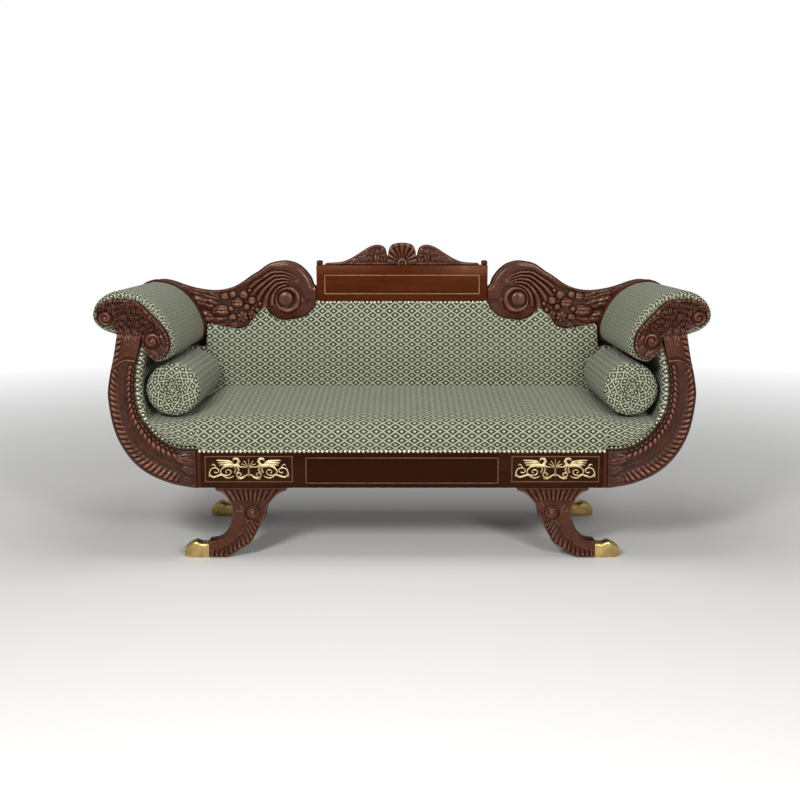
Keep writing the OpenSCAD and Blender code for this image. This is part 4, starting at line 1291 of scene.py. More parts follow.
@dataclass
class ScrollArms:
    """Carved arm facings with their double scroll heads."""

    across: int = 62
    along: int = 1040
    midrib: float = 0.54
    pitch: float = 0.0174
    proud: float = 0.0032
    neck_at: float = 0.808
    pit_at: float = 0.0095
    pit_r: float = 0.0040

    def band_height(self, u: Array, outer_run: Array, inner_run: Array) -> Array:
        """Height of the feathered band: slanting lobes beside a midrib, and beads at the inner edge.

        Args:
            u: Share of the way across, from the outer edge.
            outer_run: Distance up the outer edge from the rail.
            inner_run: Distance up the inner edge from the rail.

        Returns:
            Height over the sunk ground, from 0 to 1.
        """
        outer = u < self.midrib
        w = np.where(outer, (self.midrib - u) / self.midrib, (u - self.midrib) / (1 - self.midrib))
        phase = np.where(outer, outer_run / 0.0196 - 2.5 * w ** 0.52, inner_run / self.pitch - 1.55 * w ** 0.60)
        c = np.abs(2 * (phase % 1) - 1)
        end = np.where(outer, 0.86, 0.77) - 0.05 * c ** 2
        finger = np.clip(1 - c ** 2.4, 0, 1) ** 0.7
        grow = 0.16 + 0.84 * np.clip(w / end, 0, 1) ** 1.7
        cap = np.clip((end - w) / 0.16, 0, 1) ** 0.5
        level = 0.20 + 0.80 * finger * grow * cap * ease((w - 0.12) / 0.45)
        rib = 0.34 * np.exp(-(w / 0.030) ** 2)
        step = (inner_run / self.pitch + 0.15) % 1 - 0.5
        bead = np.where(outer, 0, 0.62 * hump(np.hypot((w - 0.875) / 0.075, step / 0.42)))
        edge = np.where(outer, 0.30 * ease((w - 0.88) / 0.05), 0.34 * np.clip((w - 0.960) / 0.02, 0, 1))
        level = np.where(outer, level, level * (1 - 0.7 * ease((w - 0.77) / 0.03)))
        return np.maximum.reduce([level, rib, bead, edge])

    def neck_height(self, u: Array, t: Array) -> Array:
        """Height of the stem over the arched top of the band.

        Args:
            u: Share of the way across.
            t: Share of the way up.

        Returns:
            Height over the sunk ground, from 0 to 1.
        """
        q = (t - self.neck_at) / (1 - self.neck_at)
        arch = q - 0.16 * (1 - np.abs(2 * u - 1) ** 1.6)
        ring = 0.74 * hump((arch + 0.015) / 0.045)
        round_over = np.clip(1 - np.abs((u - 0.60) / 0.42) ** 2.2, 0, 1) ** 0.6
        stem = 0.26 + 0.40 * round_over * ease((arch - 0.05) / 0.10)
        lobe = ridges(5.5 * q - 1.1 * u + 0.3, 0.9)
        curls = 0.24 + 0.70 * lobe * hump((u - 0.15) / 0.12)
        left = np.where(u < 0.28, curls, 0) * ease((arch - 0.10) / 0.06)
        return np.maximum.reduce([ring, stem, left])

    @staticmethod
    def throat(x: Array, z: Array, high: float) -> Array:
        """Height of the leaves that hang from the scroll head over its stem."""
        body = np.full(x.shape, -1.0)
        for sx, sz, a, long, wide, tall in (
                (0.735, 0.825, 262, 0.058, 0.024, 0.80), (0.585, 0.815, 270, 0.064, 0.026, 0.86),
                (0.665, 0.825, 266, 0.072, 0.030, 1.0), (0.54, 0.80, 292, 0.044, 0.018, 0.7)):
            at = S.arm([(sx, sz)])[0]
            body = np.maximum(body, leaf(x, z, at, a, long, wide, high * tall, 0.06, 3.0, 0.24))
        return body

    def foot_height(self, x: Array, z: Array) -> Array:
        """Height of the leaves that the band grows out of at the rail, in metres."""
        parts = [leaf(x, z, (S.rail_w / 2 - 0.006, z0), a, long, wide, S.relief * tall, bend, n, 0.12)
                 for z0, a, long, wide, tall, bend, n in (
                     (0.268, 0, 0.066, 0.030, 0.62, 0.30, 1), (0.296, 10, 0.066, 0.034, 0.80, 0.26, 1),
                     (0.356, -6, 0.090, 0.026, 0.80, 0.06, 1), (0.330, 4, 0.084, 0.034, 1.0, 0.22, 1))]
        return np.maximum.reduce(parts)

    def facing(self) -> Piece:
        """The right-hand band, with its collar and its leaves at the rail."""
        t_grid = np.linspace(0, 1, self.along + 1)
        outer, inner = spline(OUTER, t_grid), spline(INNER, t_grid)

        def place(a: Array, b: Array) -> Array:
            i = cell(b, self.along)
            spot = outer[i] * (1 - a)[:, None] + inner[i] * a[:, None]
            return spots_of(spot[:, 0], S.front, spot[:, 1])

        obj, u, t = grid_piece("arm_carving_right", self.across, self.along, place)
        spots = read_points(obj)
        top = S.relief + self.proud
        rise = [nearest(spots[:, 0], spots[:, 2], edge[::8])[1] * float(lengths(edge)[-1])
                for edge in (outer, inner)]
        level = top * np.where(t > self.neck_at - 0.006, self.neck_height(u, t), self.band_height(u, *rise))
        foot = self.foot_height(spots[:, 0], spots[:, 2])
        plain = 0.26 + 0.10 * ridges(u * 6.5 + 10 * (spots[:, 0] - S.rail_w / 2), 0.8)
        level = level + (plain * top - level) * ease((S.rail_w / 2 + 0.066 - spots[:, 0]) / 0.022)
        level = np.maximum(level, foot)
        level = np.maximum(level, np.where(t > 0.85, self.throat(spots[:, 0], spots[:, 2], top), 0))
        edge = np.minimum(np.minimum(u, 1 - u) * self.across, 2) / 2
        level = np.clip(level, 0, top) * (0.30 + 0.70 * edge ** 0.5)
        # painted shade in the hollows and painted highlight on the lobes, from the cavity; the value is also
        # lowered towards the rail, so the foot is darker
        worn = cavity(u, t, level, 4, 0.0095, 0.46) - 0.15 * ease((S.rail_w / 2 + 0.10 - spots[:, 0]) / 0.06)
        write_carve(obj, worn)
        spots[:, 1] = S.front + S.relief - level
        write_points(obj, spots)
        Board.close(obj, S.facing_back)
        return obj

    def head_relief(self, x: Array, z: Array, depth: Array) -> Array:
        """Relief of the scroll head: two volutes and a mass of curling leaves.

        Args:
            x, z: Places in the front plane.
            depth: How far inside the outline they lie.

        Returns:
            Height over the board's face.
        """
        high = S.relief + self.proud
        out, mid = S.arm([(0.874, 0.868), (0.410, 0.752)])
        root = S.arm([(0.652, 0.735)])[0]
        dx, dz = x - root[0], z - root[1]
        far, th = np.hypot(dx, dz), np.degrees(np.arctan2(dz, dx))
        _, share, _ = nearest(x, z, curve(HEAD, 140), closed=True)
        f = np.abs(2 * ((share * 47 + 0.5 * np.sin(share * 61)) % 1) - 1)
        lobe = hump((depth - 0.0062) / 0.0062) * np.clip(1 - f ** 2.2, 0, 1) ** 0.55
        body = high * (0.08 + 0.66 * lobe * (0.72 + 0.28 * np.sin(share * 97)))
        turn = th + 14 * np.sin(far / 0.034)
        blade = ridges(turn / 20.0, 0.7)
        rise = 0.30 + 0.36 * np.clip(far / 0.10, 0, 1)
        inner = depth > 0.0105
        body = np.where(inner, high * rise * (0.12 + 0.50 * blade), body)
        rng = np.random.default_rng(7)
        for k, radius in enumerate((0.136, 0.116, 0.096, 0.077, 0.058, 0.038)):
            count = max(3, round(2.7 * radius / 0.020))
            for j in range(count):
                a = math.radians(14 + 156 * (j + 0.25 + 0.5 * (k % 2)) / count)
                at = (root[0] + radius * math.cos(a), root[1] + radius * math.sin(a))
                long, turn = 0.026 * rng.uniform(0.8, 1.2), math.degrees(a) + rng.uniform(-40, 40)
                for side in (-1, 1):
                    b = math.radians(turn + side * 62)
                    far = np.hypot(x - at[0] - self.pit_at * math.cos(b), z - at[1] - self.pit_at * math.sin(b))
                    body = np.where(inner & (far < self.pit_r), 0.0, body)
                wide, tall = 0.0170 * rng.uniform(0.8, 1.2), high * rng.uniform(0.80, 1.12)
                blade = curl(x, z, at, turn, long, wide, tall)
                body = np.where(inner & (blade > 0), np.maximum(blade, body * 0.3), body)
        tongue = curl(x, z, (root[0], root[1] - 0.005), 92, 0.062, 0.030, high)
        body = np.maximum(np.maximum(body, tongue), self.throat(x, z, high))
        for at, size, sense, start in ((out, 0.0225, 1, 0.1), (mid, 0.0250, -1, 0.35)):
            gap = np.hypot(x - at[0], z - at[1])
            body = np.where(gap < size + 0.004, np.minimum(body, 0.08 * high), body)
            disc = volute(x, z, at, size, high * 1.10, 1.6, start, sense, 0.27)
            body = np.where(disc > 0, disc, body)
        return body * ease(depth / 0.0026)

    def head(self) -> Piece:
        """The right-hand scroll head."""
        return Board(curve(HEAD, 140), S.front + S.relief, S.facing_back, 0.0013, self.head_relief, dirt=0.13,
                     flush=True).build("scroll_carving_right")

    def build(self) -> None:
        """Makes both arms' carvings."""
        pair(self.facing(), Look.CARVED, Slot.MAHOGANY, "arm_facing")
        pair(self.head(), Look.CARVED, Slot.MAHOGANY, "scroll_head")


@dataclass
class Crest:
    """Carved crest: side rails with volutes, fruit and leaves, the tablet and its shell."""

    step: float = 0.0017
    disc_r: float = 0.080
    dome_r: float = 0.027
    band: float = 0.043
    knob: Triple = (0.0225, 0.040, 0.0180)
    top: tuple[Point, ...] = ((0.018, 0.65), (0.032, 0.752), (0.066, 0.87), (0.109, 0.957), (0.164, 1),
                              (0.214, 0.992), (0.264, 0.957), (0.32, 0.854), (0.364, 0.783), (0.42, 0.677),
                              (0.476, 0.606), (0.532, 0.567), (0.587, 0.559), (0.643, 0.575), (0.70, 0.606),
                              (0.752, 0.65), (0.797, 0.693), (0.851, 0.724), (0.907, 0.709), (0.945, 0.65))
    low: tuple[Point, ...] = ((0.289, 0.318), (0.325, 0.235), (0.36, 0.12), (0.386, 0.043), (0.442, 0),
                              (0.509, 0.028), (0.565, 0.059), (0.622, 0.102), (0.70, 0.20), (0.80, 0.36))
    fruit: tuple[tuple[float, float, float, float, int], ...] = (
        (0.684, 0.785, 23, 1.7, 3), (0.642, 0.761, 14, 1.2, 3), (0.548, 0.788, 10, 1, 0),
        (0.5865, 0.799, 13, 1, 0), (0.6695, 0.8395, 16, 1.2, 3), (0.5368, 0.8116, 9, 1, 0),
        (0.567, 0.768, 19, 1, 5), (0.640, 0.846, 15, 1, 0), (0.567, 0.8235, 17, 1, 2),
        (0.598, 0.8448, 18, 1, 0), (0.603, 0.762, 23, 1, 6), (0.6225, 0.8144, 22, 1.1, 3),
        (0.647, 0.792, 12, 1, 0), (0.575, 0.862, 9, 1, 0))

    @property
    def centre(self) -> Array:
        """Centre of the right-hand volute."""
        return S.crest([(0.174, 0.441)])[0]

    def outline(self) -> Array:
        """Outline of the right-hand rail, with the volute's disc."""
        top = curve(S.crest(self.top), 120)
        low = curve(S.crest(self.low), 60)[::-1]
        c, r = self.centre, self.disc_r
        first = math.atan2(*(low[-1] - c)[::-1])
        arc = np.linspace(first, -math.pi, 90)
        wide = r + (c[0] - S.tablet_w / 2 - 0.0006 - r) * ease((-arc - 1.75) / 1.39)
        disc = spots_of(c[0] + wide * np.cos(arc), c[1] + wide * np.sin(arc))
        by = np.array([(0.0006, 0.012), (0.0006, 0.024), (0.0006, 0.036), (0.004, 0.046)])
        side = (S.tablet_w / 2, c[1]) + by
        return np.concatenate([top, low, disc[1:], side])

    def under(self, x: Array) -> Array:
        """Lower edge of the crest at places along it."""
        line = self.outline()
        best = np.full(x.shape, S.tablet_z)
        for a, b in zip(line, np.roll(line, -1, axis=0)):
            low, high = min(a[0], b[0]), max(a[0], b[0])
            if high > low:
                z = a[1] + (x - a[0]) * (b[1] - a[1]) / (b[0] - a[0])
                best = np.where((x >= low) & (x <= high), np.minimum(best, z), best)
        return best

    def side_relief(self, x: Array, z: Array, depth: Array) -> Array:
        """Relief of the side rail.

        Args:
            x, z: Places in the front plane.
            depth: How far inside the outline they lie.

        Returns:
            Height over the board's face.
        """
        high, c = S.relief, self.centre
        angle = np.arctan2(z - c[1], x - c[0])
        top = curve(S.crest(self.top), 160)
        under, share, _ = nearest(x, z, top)
        r = np.hypot(x - c[0], z - c[1])
        coil = 0.050 + 0.012 * np.cos(angle + 2.7)
        ring = np.maximum(r - coil, 0)
        band = self.band - 0.021 * ease((share - 0.14) / 0.24)
        gap = np.clip(ring / np.maximum(ring + under - band, 1e-4), 0, 1)
        fade = ease((share - 0.02) / 0.17) * (1 - ease((share - 0.44) / 0.10))
        swell = 0.30 * np.sin(np.pi * np.clip(under / band, 0, 1))
        plain = high * (0.34 + swell + 0.05 * ridges(under / 0.013, 0.8))
        flute = np.where(gap < 0.995, high * (0.08 + 0.74 * ridges(5 * gap, 0.85)), plain) * fade
        shoulder = high * (0.16 + 0.34 * ease(ring / 0.022) * ease((under - 0.004) / 0.02))
        shoulder = shoulder * (1 - fade) * (share < 0.3)
        body = np.maximum(flute + shoulder, 0.05 * high)
        tail = np.clip((x - c[0] - 0.20) / 0.1, 0, 1)
        grooves = high * 0.36 * ridges(under / 0.0115 + 0.2, 0.8) * tail * (1 - ease((under - 0.03) / 0.01))
        body = np.maximum(body, grooves)
        at = S.crest([(0.50, 0.30)])[0]
        for k, (dx, dz, a, long, wide, bend) in enumerate((
                (0.10, -0.020, 8, 0.20, 0.040, 0.10), (0.11, 0.012, 14, 0.20, 0.034, 0.06),
                (0.02, 0.062, 10, 0.18, 0.036, -0.04), (0.02, 0.034, 16, 0.18, 0.042, 0.02),
                (0.01, -0.066, -16, 0.13, 0.050, 0.18), (0.02, 0.004, 12, 0.17, 0.048, 0.08),
                (0.00, -0.036, -2, 0.15, 0.056, 0.14), (-0.085, 0.000, -152, 0.048, 0.024, 0.1),
                (-0.085, -0.004, -126, 0.052, 0.022, 0.0), (-0.080, -0.006, -100, 0.054, 0.022, 0.0),
                (-0.072, -0.006, -76, 0.052, 0.022, 0.0), (-0.030, -0.050, -70, 0.050, 0.030, 0.1))):
            body = np.maximum(body, leaf(x, z, (at[0] + dx, at[1] + dz), a, long, wide,
                                         high * min(0.62 + 0.06 * k, 1.0), bend, 3.0, 0.20))
        for fx, fz, mm, oval, folds in self.fruit:
            far, way = (x - fx) / oval, np.arctan2(z - fz, x - fx) / np.pi
            gap = np.hypot(far, z - fz)
            body = np.where(gap < mm * 0.001 + 0.0020, body * 0.45, body)
            lump = berry(far + fx, z, (fx, fz), mm * 0.001, high * (0.92 + 0.018 * (mm - 10)), 0.10)
            if folds > 4:
                petal = ridges(0.5 * folds * way + 0.2, 0.7)
                lump = np.where(gap < mm * 0.001 * (0.62 + 0.38 * petal), lump * (0.45 + 0.55 * petal), -1)
            elif folds:
                lump = lump * (1 - 0.13 * ridges(folds * (z - fz) / (0.002 * mm) + 0.5, 3.0))
            body = np.maximum(body, lump)
        rim = high * 0.42 * hump((under - 0.0052) / 0.0045)
        body = np.maximum(body, rim)
        inner = (r - self.dome_r - 0.003) / np.maximum(coil - self.dome_r - 0.003, 1e-4)
        roll = high * (0.12 + 0.80 * np.sin(np.pi * np.clip(inner, 0, 1) ** 1.3) ** 0.8)
        dome = high * (0.46 + 0.56 * hump(r / self.dome_r))
        skirt = high * (0.52 - 0.46 * np.clip((r - coil) / (self.disc_r - coil), 0, 1) ** 0.7)
        begin = 0.10 - 0.50 * ease(np.cos(angle))
        under_side = ease((begin - np.sin(angle)) / 0.30) * (r < self.disc_r + 0.036)
        body = np.where(r > coil, body * (1 - under_side) + skirt * under_side, body)
        return np.where(r < self.dome_r, dome, np.where(r < coil, roll, body))

    def side(self) -> Piece:
        """The right-hand rail."""
        return Board(self.outline(), S.crest_y + S.relief, S.depth / 2, self.step, self.side_relief,
                     0.003).build("crest_carving_right")

    def shell_outline(self) -> Array:
        """Outline of the shell and its scrolls."""
        half = [(1, 0), (0.99, 0.085), (0.84, 0.115), (0.75, 0.18), (0.645, 0.35), (0.535, 0.59), (0.425, 0.82),
                (0.34, 0.905), (0.27, 0.88), (0.222, 0.76), (0.203, 0.58), (0.196, 0.44), (0.186, 0.42),
                (0.180, 0.56), (0.165, 0.76), (0.13, 0.91), (0.07, 0.98), (0, 1)]
        q = np.asarray(half) * (S.cresting_w / 2, S.cresting_h) + (0, S.tablet_z + S.tablet_h)
        right = curve(q, 130)
        return np.concatenate([right, (right * (-1, 1))[::-1][1:]])

    def shell_relief(self, x: Array, z: Array, depth: Array) -> Array:
        """Relief of the shell: a ribbed fan between two leafy scrolls.

        Args:
            x, z: Places in the front plane.
            depth: How far inside the outline they lie.

        Returns:
            Height over the board's face.
        """
        high = S.relief
        ax, z0 = np.abs(x), S.tablet_z + S.tablet_h
        body = np.full(x.shape, 0.24 * high)
        rim = high * 0.52 * hump((depth - 0.0052) / 0.0050)
        for k, (sx, sz, a, long, wide, bend) in enumerate((
                (0.86, 0.05, 174, 0.100, 0.018, -0.10), (0.72, 0.08, 164, 0.100, 0.026, -0.22),
                (0.60, 0.10, 150, 0.074, 0.026, -0.34), (0.52, 0.06, 134, 0.062, 0.024, -0.30),
                (0.43, 0.05, 112, 0.054, 0.022, -0.20), (0.335, 0.02, 98, 0.066, 0.028, -0.1),
                (0.245, 0.02, 90, 0.046, 0.028, 0.0))):
            body = np.maximum(body, leaf(ax, z, (sx * S.cresting_w / 2, z0 + sz * S.cresting_h), a, long, wide,
                                         high * (0.66 + 0.05 * k), bend, 2.0, 0.18))
        eye = (0.262 * S.cresting_w / 2, z0 + 0.67 * S.cresting_h)
        scroll = volute(ax, z, eye, 0.0130, high * 0.95, 1.2, 0.2, -1, 0.34)
        body = np.where(scroll > 0, scroll, body)
        px, pz = x, z - (z0 + 0.10 * S.cresting_h)
        r, th = np.hypot(px, pz), np.arctan2(pz, px)
        rib = ridges(9 * th / math.pi, 0.65)
        lip = high * 0.95 * hump((r - 0.0675) / 0.007) * (0.6 + 0.4 * rib)
        shell = np.maximum(high * (0.20 + 0.62 * (rib * (0.45 + 0.55 * np.clip(r / 0.060, 0, 1)))), lip)
        shell = np.where((np.abs(px) < 0.054) & (r < 0.079) & (pz > 0.004), shell, -1)
        body = np.where(shell > 0, np.maximum(shell, 0.2 * high), body)
        base = np.hypot(px, pz + 0.002) / 0.020
        knob = np.where(base < 1, high * (0.45 + 0.50 * ridges(1.5 * base + 0.5, 0.8)), -1)
        return np.maximum(np.maximum(body, rim * (np.abs(px) > 0.054)), knob)

    def shell(self) -> Piece:
        """The shell cresting on the tablet."""
        return Board(self.shell_outline(), S.crest_y + S.relief, S.crest_y + S.relief + S.crest_t / 2, 0.0014,
                     self.shell_relief, 0.003).build("shell_carving")

    def tablet(self) -> Piece:
        """The veneered tablet, with a softened edge."""
        return bevelled_box("tablet_board", (0, S.crest_y + S.crest_t / 2, S.tablet_z + S.tablet_h / 2),
                            (S.tablet_w, S.crest_t, S.tablet_h), 0.0022)

    def build(self) -> None:
        """Makes the crest."""
        pair(self.side(), Look.CARVED, Slot.MAHOGANY, "crest_rail")
        dressed(self.shell(), Look.CARVED, Slot.MAHOGANY, BODY, "crest_shell")
        dressed(self.tablet(), Look.VENEER, Slot.VENEER, BODY, "crest_tablet")
        x, y, z = S.tablet_w / 2 - 0.0115, S.depth / 2 - S.crest_t / 2, S.tablet_z + S.tablet_h + 0.0080
        knobs = [bevelled_box(f"knob_{sx}", (sx * x, y, z), self.knob, 0.0062, 4) for sx in (1, -1)]
        dressed(joined("tablet_knobs", knobs), Look.BACK_WOOD, Slot.MAHOGANY, BODY, "tablet_blocks")



@dataclass
class Legs:
    """Splayed carved legs with brass paw toe caps."""

    step: float = 0.0014
    outer: tuple[Point, ...] = ((0.90, 1), (0.895, 0.943), (0.815, 0.902), (0.753, 0.833), (0.703, 0.72),
                                (0.692, 0.61), (0.722, 0.467), (0.787, 0.341), (0.878, 0.262), (1, 0.236))
    inner: tuple[Point, ...] = ((0.80, 0), (0.783, 0), (0.703, 0.049), (0.60, 0.118), (0.471, 0.203),
                                (0.38, 0.37), (0.327, 0.484), (0.285, 0.553), (0.259, 0.667), (0.22, 0.764),
                                (0.156, 0.846),
                                (0.091, 0.902), (0, 0.943))

    def outline(self) -> Array:
        """Outline of the right front leg."""
        out = curve(S.leg(self.outer), 90)
        inn = curve(S.leg(self.inner), 110)
        end = S.leg([(1, 0.0)])
        top = S.leg([(0, 1.0)])
        return np.maximum(np.concatenate([out, end, inn, top]), 0)

    def relief(self, x: Array, z: Array, depth: Array) -> Array:
        """Relief of a leg: fan, rosette, gadroons, and a leaf at the toe.

        Args:
            x, z: Places in the front plane.
            depth: How far inside the outline they lie.

        Returns:
            Height over the leg's face.
        """
        high = S.relief
        body = np.full(x.shape, 0.16 * high)
        rim = high * 0.52 * hump((depth - 0.0035) / 0.0032)
        spine = curve(S.leg([(0.47, 0.56), (0.53, 0.46), (0.60, 0.34), (0.70, 0.235), (0.84, 0.145),
                             (1.0, 0.10)]), 60)
        away, share, side = nearest(x, z, spine)
        w = np.clip(-side * away / 0.044, 0, 1)
        c = np.abs(2 * ((share * 12.4 - 1.1 * w) % 1) - 1)
        finger = np.clip(1 - c ** 2.3, 0, 1) ** 0.6
        ends = np.clip((depth - 0.0045 - 0.0030 * c ** 2) / 0.007, 0, 1) ** 0.5
        lobes = high * (0.10 + 0.86 * finger * ends * (0.30 + 0.70 * ease(1 - depth / 0.034)) * ease(w / 0.12))
        in_leaf = (side < 0) & (share > 0.005) & (share < 0.985)
        body = np.where(in_leaf, np.maximum(body * 0.5, lobes), body)
        plain = high * (0.40 + 0.26 * np.sin(np.pi * np.clip(depth / 0.05, 0, 1)))
        body = np.where((side > 0) & (z < S.leg_h * 0.66), np.maximum(body, plain * ease(depth / 0.006)), body)
        stem = high * 0.72 * np.exp(-((away - 0.001) / 0.0036) ** 2)
        body = np.maximum(body, stem * (share < 0.985) * (share > 0.01))
        fan_at = S.leg([(0.455, 0.44)])[0]
        dx, dz = x - fan_at[0], z - fan_at[1]
        th = np.arctan2(dx, dz)
        flute = ridges(th * 7.4 + 0.5, 0.8)
        arch = S.leg_h * (0.795 + 0.045 * (1 - flute))
        fan = high * (0.16 + 0.52 * flute) * np.clip((z - arch) / 0.006 + 0.3, 0.3, 1) ** 0.5
        body = np.where((z > arch) & (depth > 0.003), fan, body)
        lip = high * 0.95 * hump((z - S.leg_h * 0.978) / 0.0055)
        body = np.maximum(body, lip)
        for k, (sx, sz, a, long, wide, bend) in enumerate((
                (0.66, 0.79, 250, 0.080, 0.034, -0.20), (0.27, 0.80, 290, 0.062, 0.030, 0.25))):
            at = S.leg([(sx, sz)])[0]
            body = np.maximum(body, leaf(x, z, at, a, long, wide, high * (0.62 + 0.04 * k), bend, 1.0, 0.1))
        centre = S.leg([(0.437, 0.636)])[0]
        gap = np.hypot(x - centre[0], z - centre[1])
        body = np.where(gap < 0.027, np.minimum(body, high * 0.16), body)
        disc = volute(x, z, centre, 0.0235, high * 0.90, 1.6, 0.55, 1, 0.30)
        body = np.where(disc > 0, disc, body)
        return np.maximum(body, rim)

    def leg(self) -> Piece:
        """The right front leg."""
        y = S.rail_y + S.rail_set
        return Board(self.outline(), y + S.relief, y + S.leg_t, self.step, self.relief, 0.004,
                     0.08).build("leg_carving_front_right")

    def toe(self) -> Piece:
        """Brass toe cap of the right front leg: a paw with four toes and a collar."""
        x0, x1 = S.leg_x + S.leg_w, S.leg_x + S.leg_w + S.toe_l + 0.001
        y0 = S.rail_y + S.rail_set

        def place(a: Array, b: Array) -> Array:
            c, d = np.cos(2 * np.pi * a), np.sin(2 * np.pi * a)
            nose = np.sqrt(np.clip(1 - np.clip((b - 0.46) / 0.54, 0, 1) ** 2.6, 0, 1))
            tall = S.toe_h * (0.93 + 0.07 * np.exp(-((b - 0.50) / 0.16) ** 2)) * (0.26 + 0.74 * nose)
            wide = S.leg_t * (0.92 + 0.06 * np.sin(np.pi * b)) * (0.22 + 0.78 * nose)
            cross_y = np.sign(c) * np.abs(c) ** 0.55
            cross_z = np.sign(d) * np.abs(d) ** np.where(d > 0, 0.62, 0.25)
            grip = ease((b - 0.30) / 0.25)
            toes = 0.0030 * ridges(1.5 * (cross_y + 1), 0.8) * grip * np.clip(cross_z + 0.9, 0, 1)
            collar = 0.0020 * np.exp(-((b - 0.05) / 0.035) ** 2) + 0.0012 * np.exp(-((b - 0.17) / 0.02) ** 2)
            lift = toes + collar - 0.0045
            y = y0 + S.leg_t / 2 + cross_y * np.minimum(wide / 2 + lift, S.leg_t / 2)
            above = np.minimum(tall / 2 + lift, S.toe_h - tall / 2)
            z = tall / 2 + cross_z * np.where(cross_z > 0, above, tall / 2)
            x = np.minimum(x0 + b * (x1 - x0) + toes * 0.6 * (b > 0.9), x1)
            return spots_of(x, y, np.clip(z, 0, S.toe_h))

        obj, u, v = grid_piece("toe_paw_front_right", 96, 64, place)
        cross = np.cos(2 * np.pi * u)
        cross = np.sign(cross) * np.abs(cross) ** 0.55
        toes = 0.85 * ridges(1.5 * (cross + 1), 0.6) * ease((v - 0.3) / 0.25)
        write_carve(obj, 0.15 + toes + 0.5 * (v < 0.25))
        sealed(obj, 60.0, 1e-5)
        return obj

    def build(self) -> None:
        """Makes four legs and their toe caps."""
        shift = REAR_LEG_Y - (S.rail_y + S.rail_set)
        for front, node, finish, slot in ((self.leg(), "leg", Look.CARVED, Slot.MAHOGANY),
                                          (self.toe(), "toe_cap", Look.BRASS, Slot.BRASS)):
            back = copied(front, "front", "back")
            write_points(back, read_points(back) + (0, shift, 0))
            pair(front, finish, slot, node + "_front")
            pair(back, finish, slot, node + "_back")


def stroke(name: str, points: Sequence[Point], widths: Sequence[float], base: float,
           high: float) -> Piece:
    """A raised half-round stroke that swells and tapers, standing off a plane.

    Args:
        name: Name of the stroke.
        points: Places along it in the front plane.
        widths: Its half widths, spread evenly along it.
        base: The plane it stands on.
        high: Its height at its widest.

    Returns:
        The closed stroke.
    """
    count = 7 * (len(points) - 1)
    line = curve(points, count + 1)
    left = left_of(line)
    half = np.interp(np.linspace(0, 1, count + 1), np.linspace(0, 1, len(widths)), widths)
    top = max(widths)

    def place(a: Array, b: Array) -> Array:
        i = cell(b, count)
        turn = np.pi * a
        spot = line[i] + left[i] * (half[i] * np.cos(turn))[:, None]
        rise = high * (half[i] / top) ** 0.6 * np.sin(turn) ** 0.8
        return spots_of(spot[:, 0], base - rise, spot[:, 1])

    obj, a, b = grid_piece(name, 7, count, place)
    write_carve(obj, 0.2 + 0.8 * np.sin(np.pi * a))
    sealed(obj, 60.0, 1e-5)
    return obj


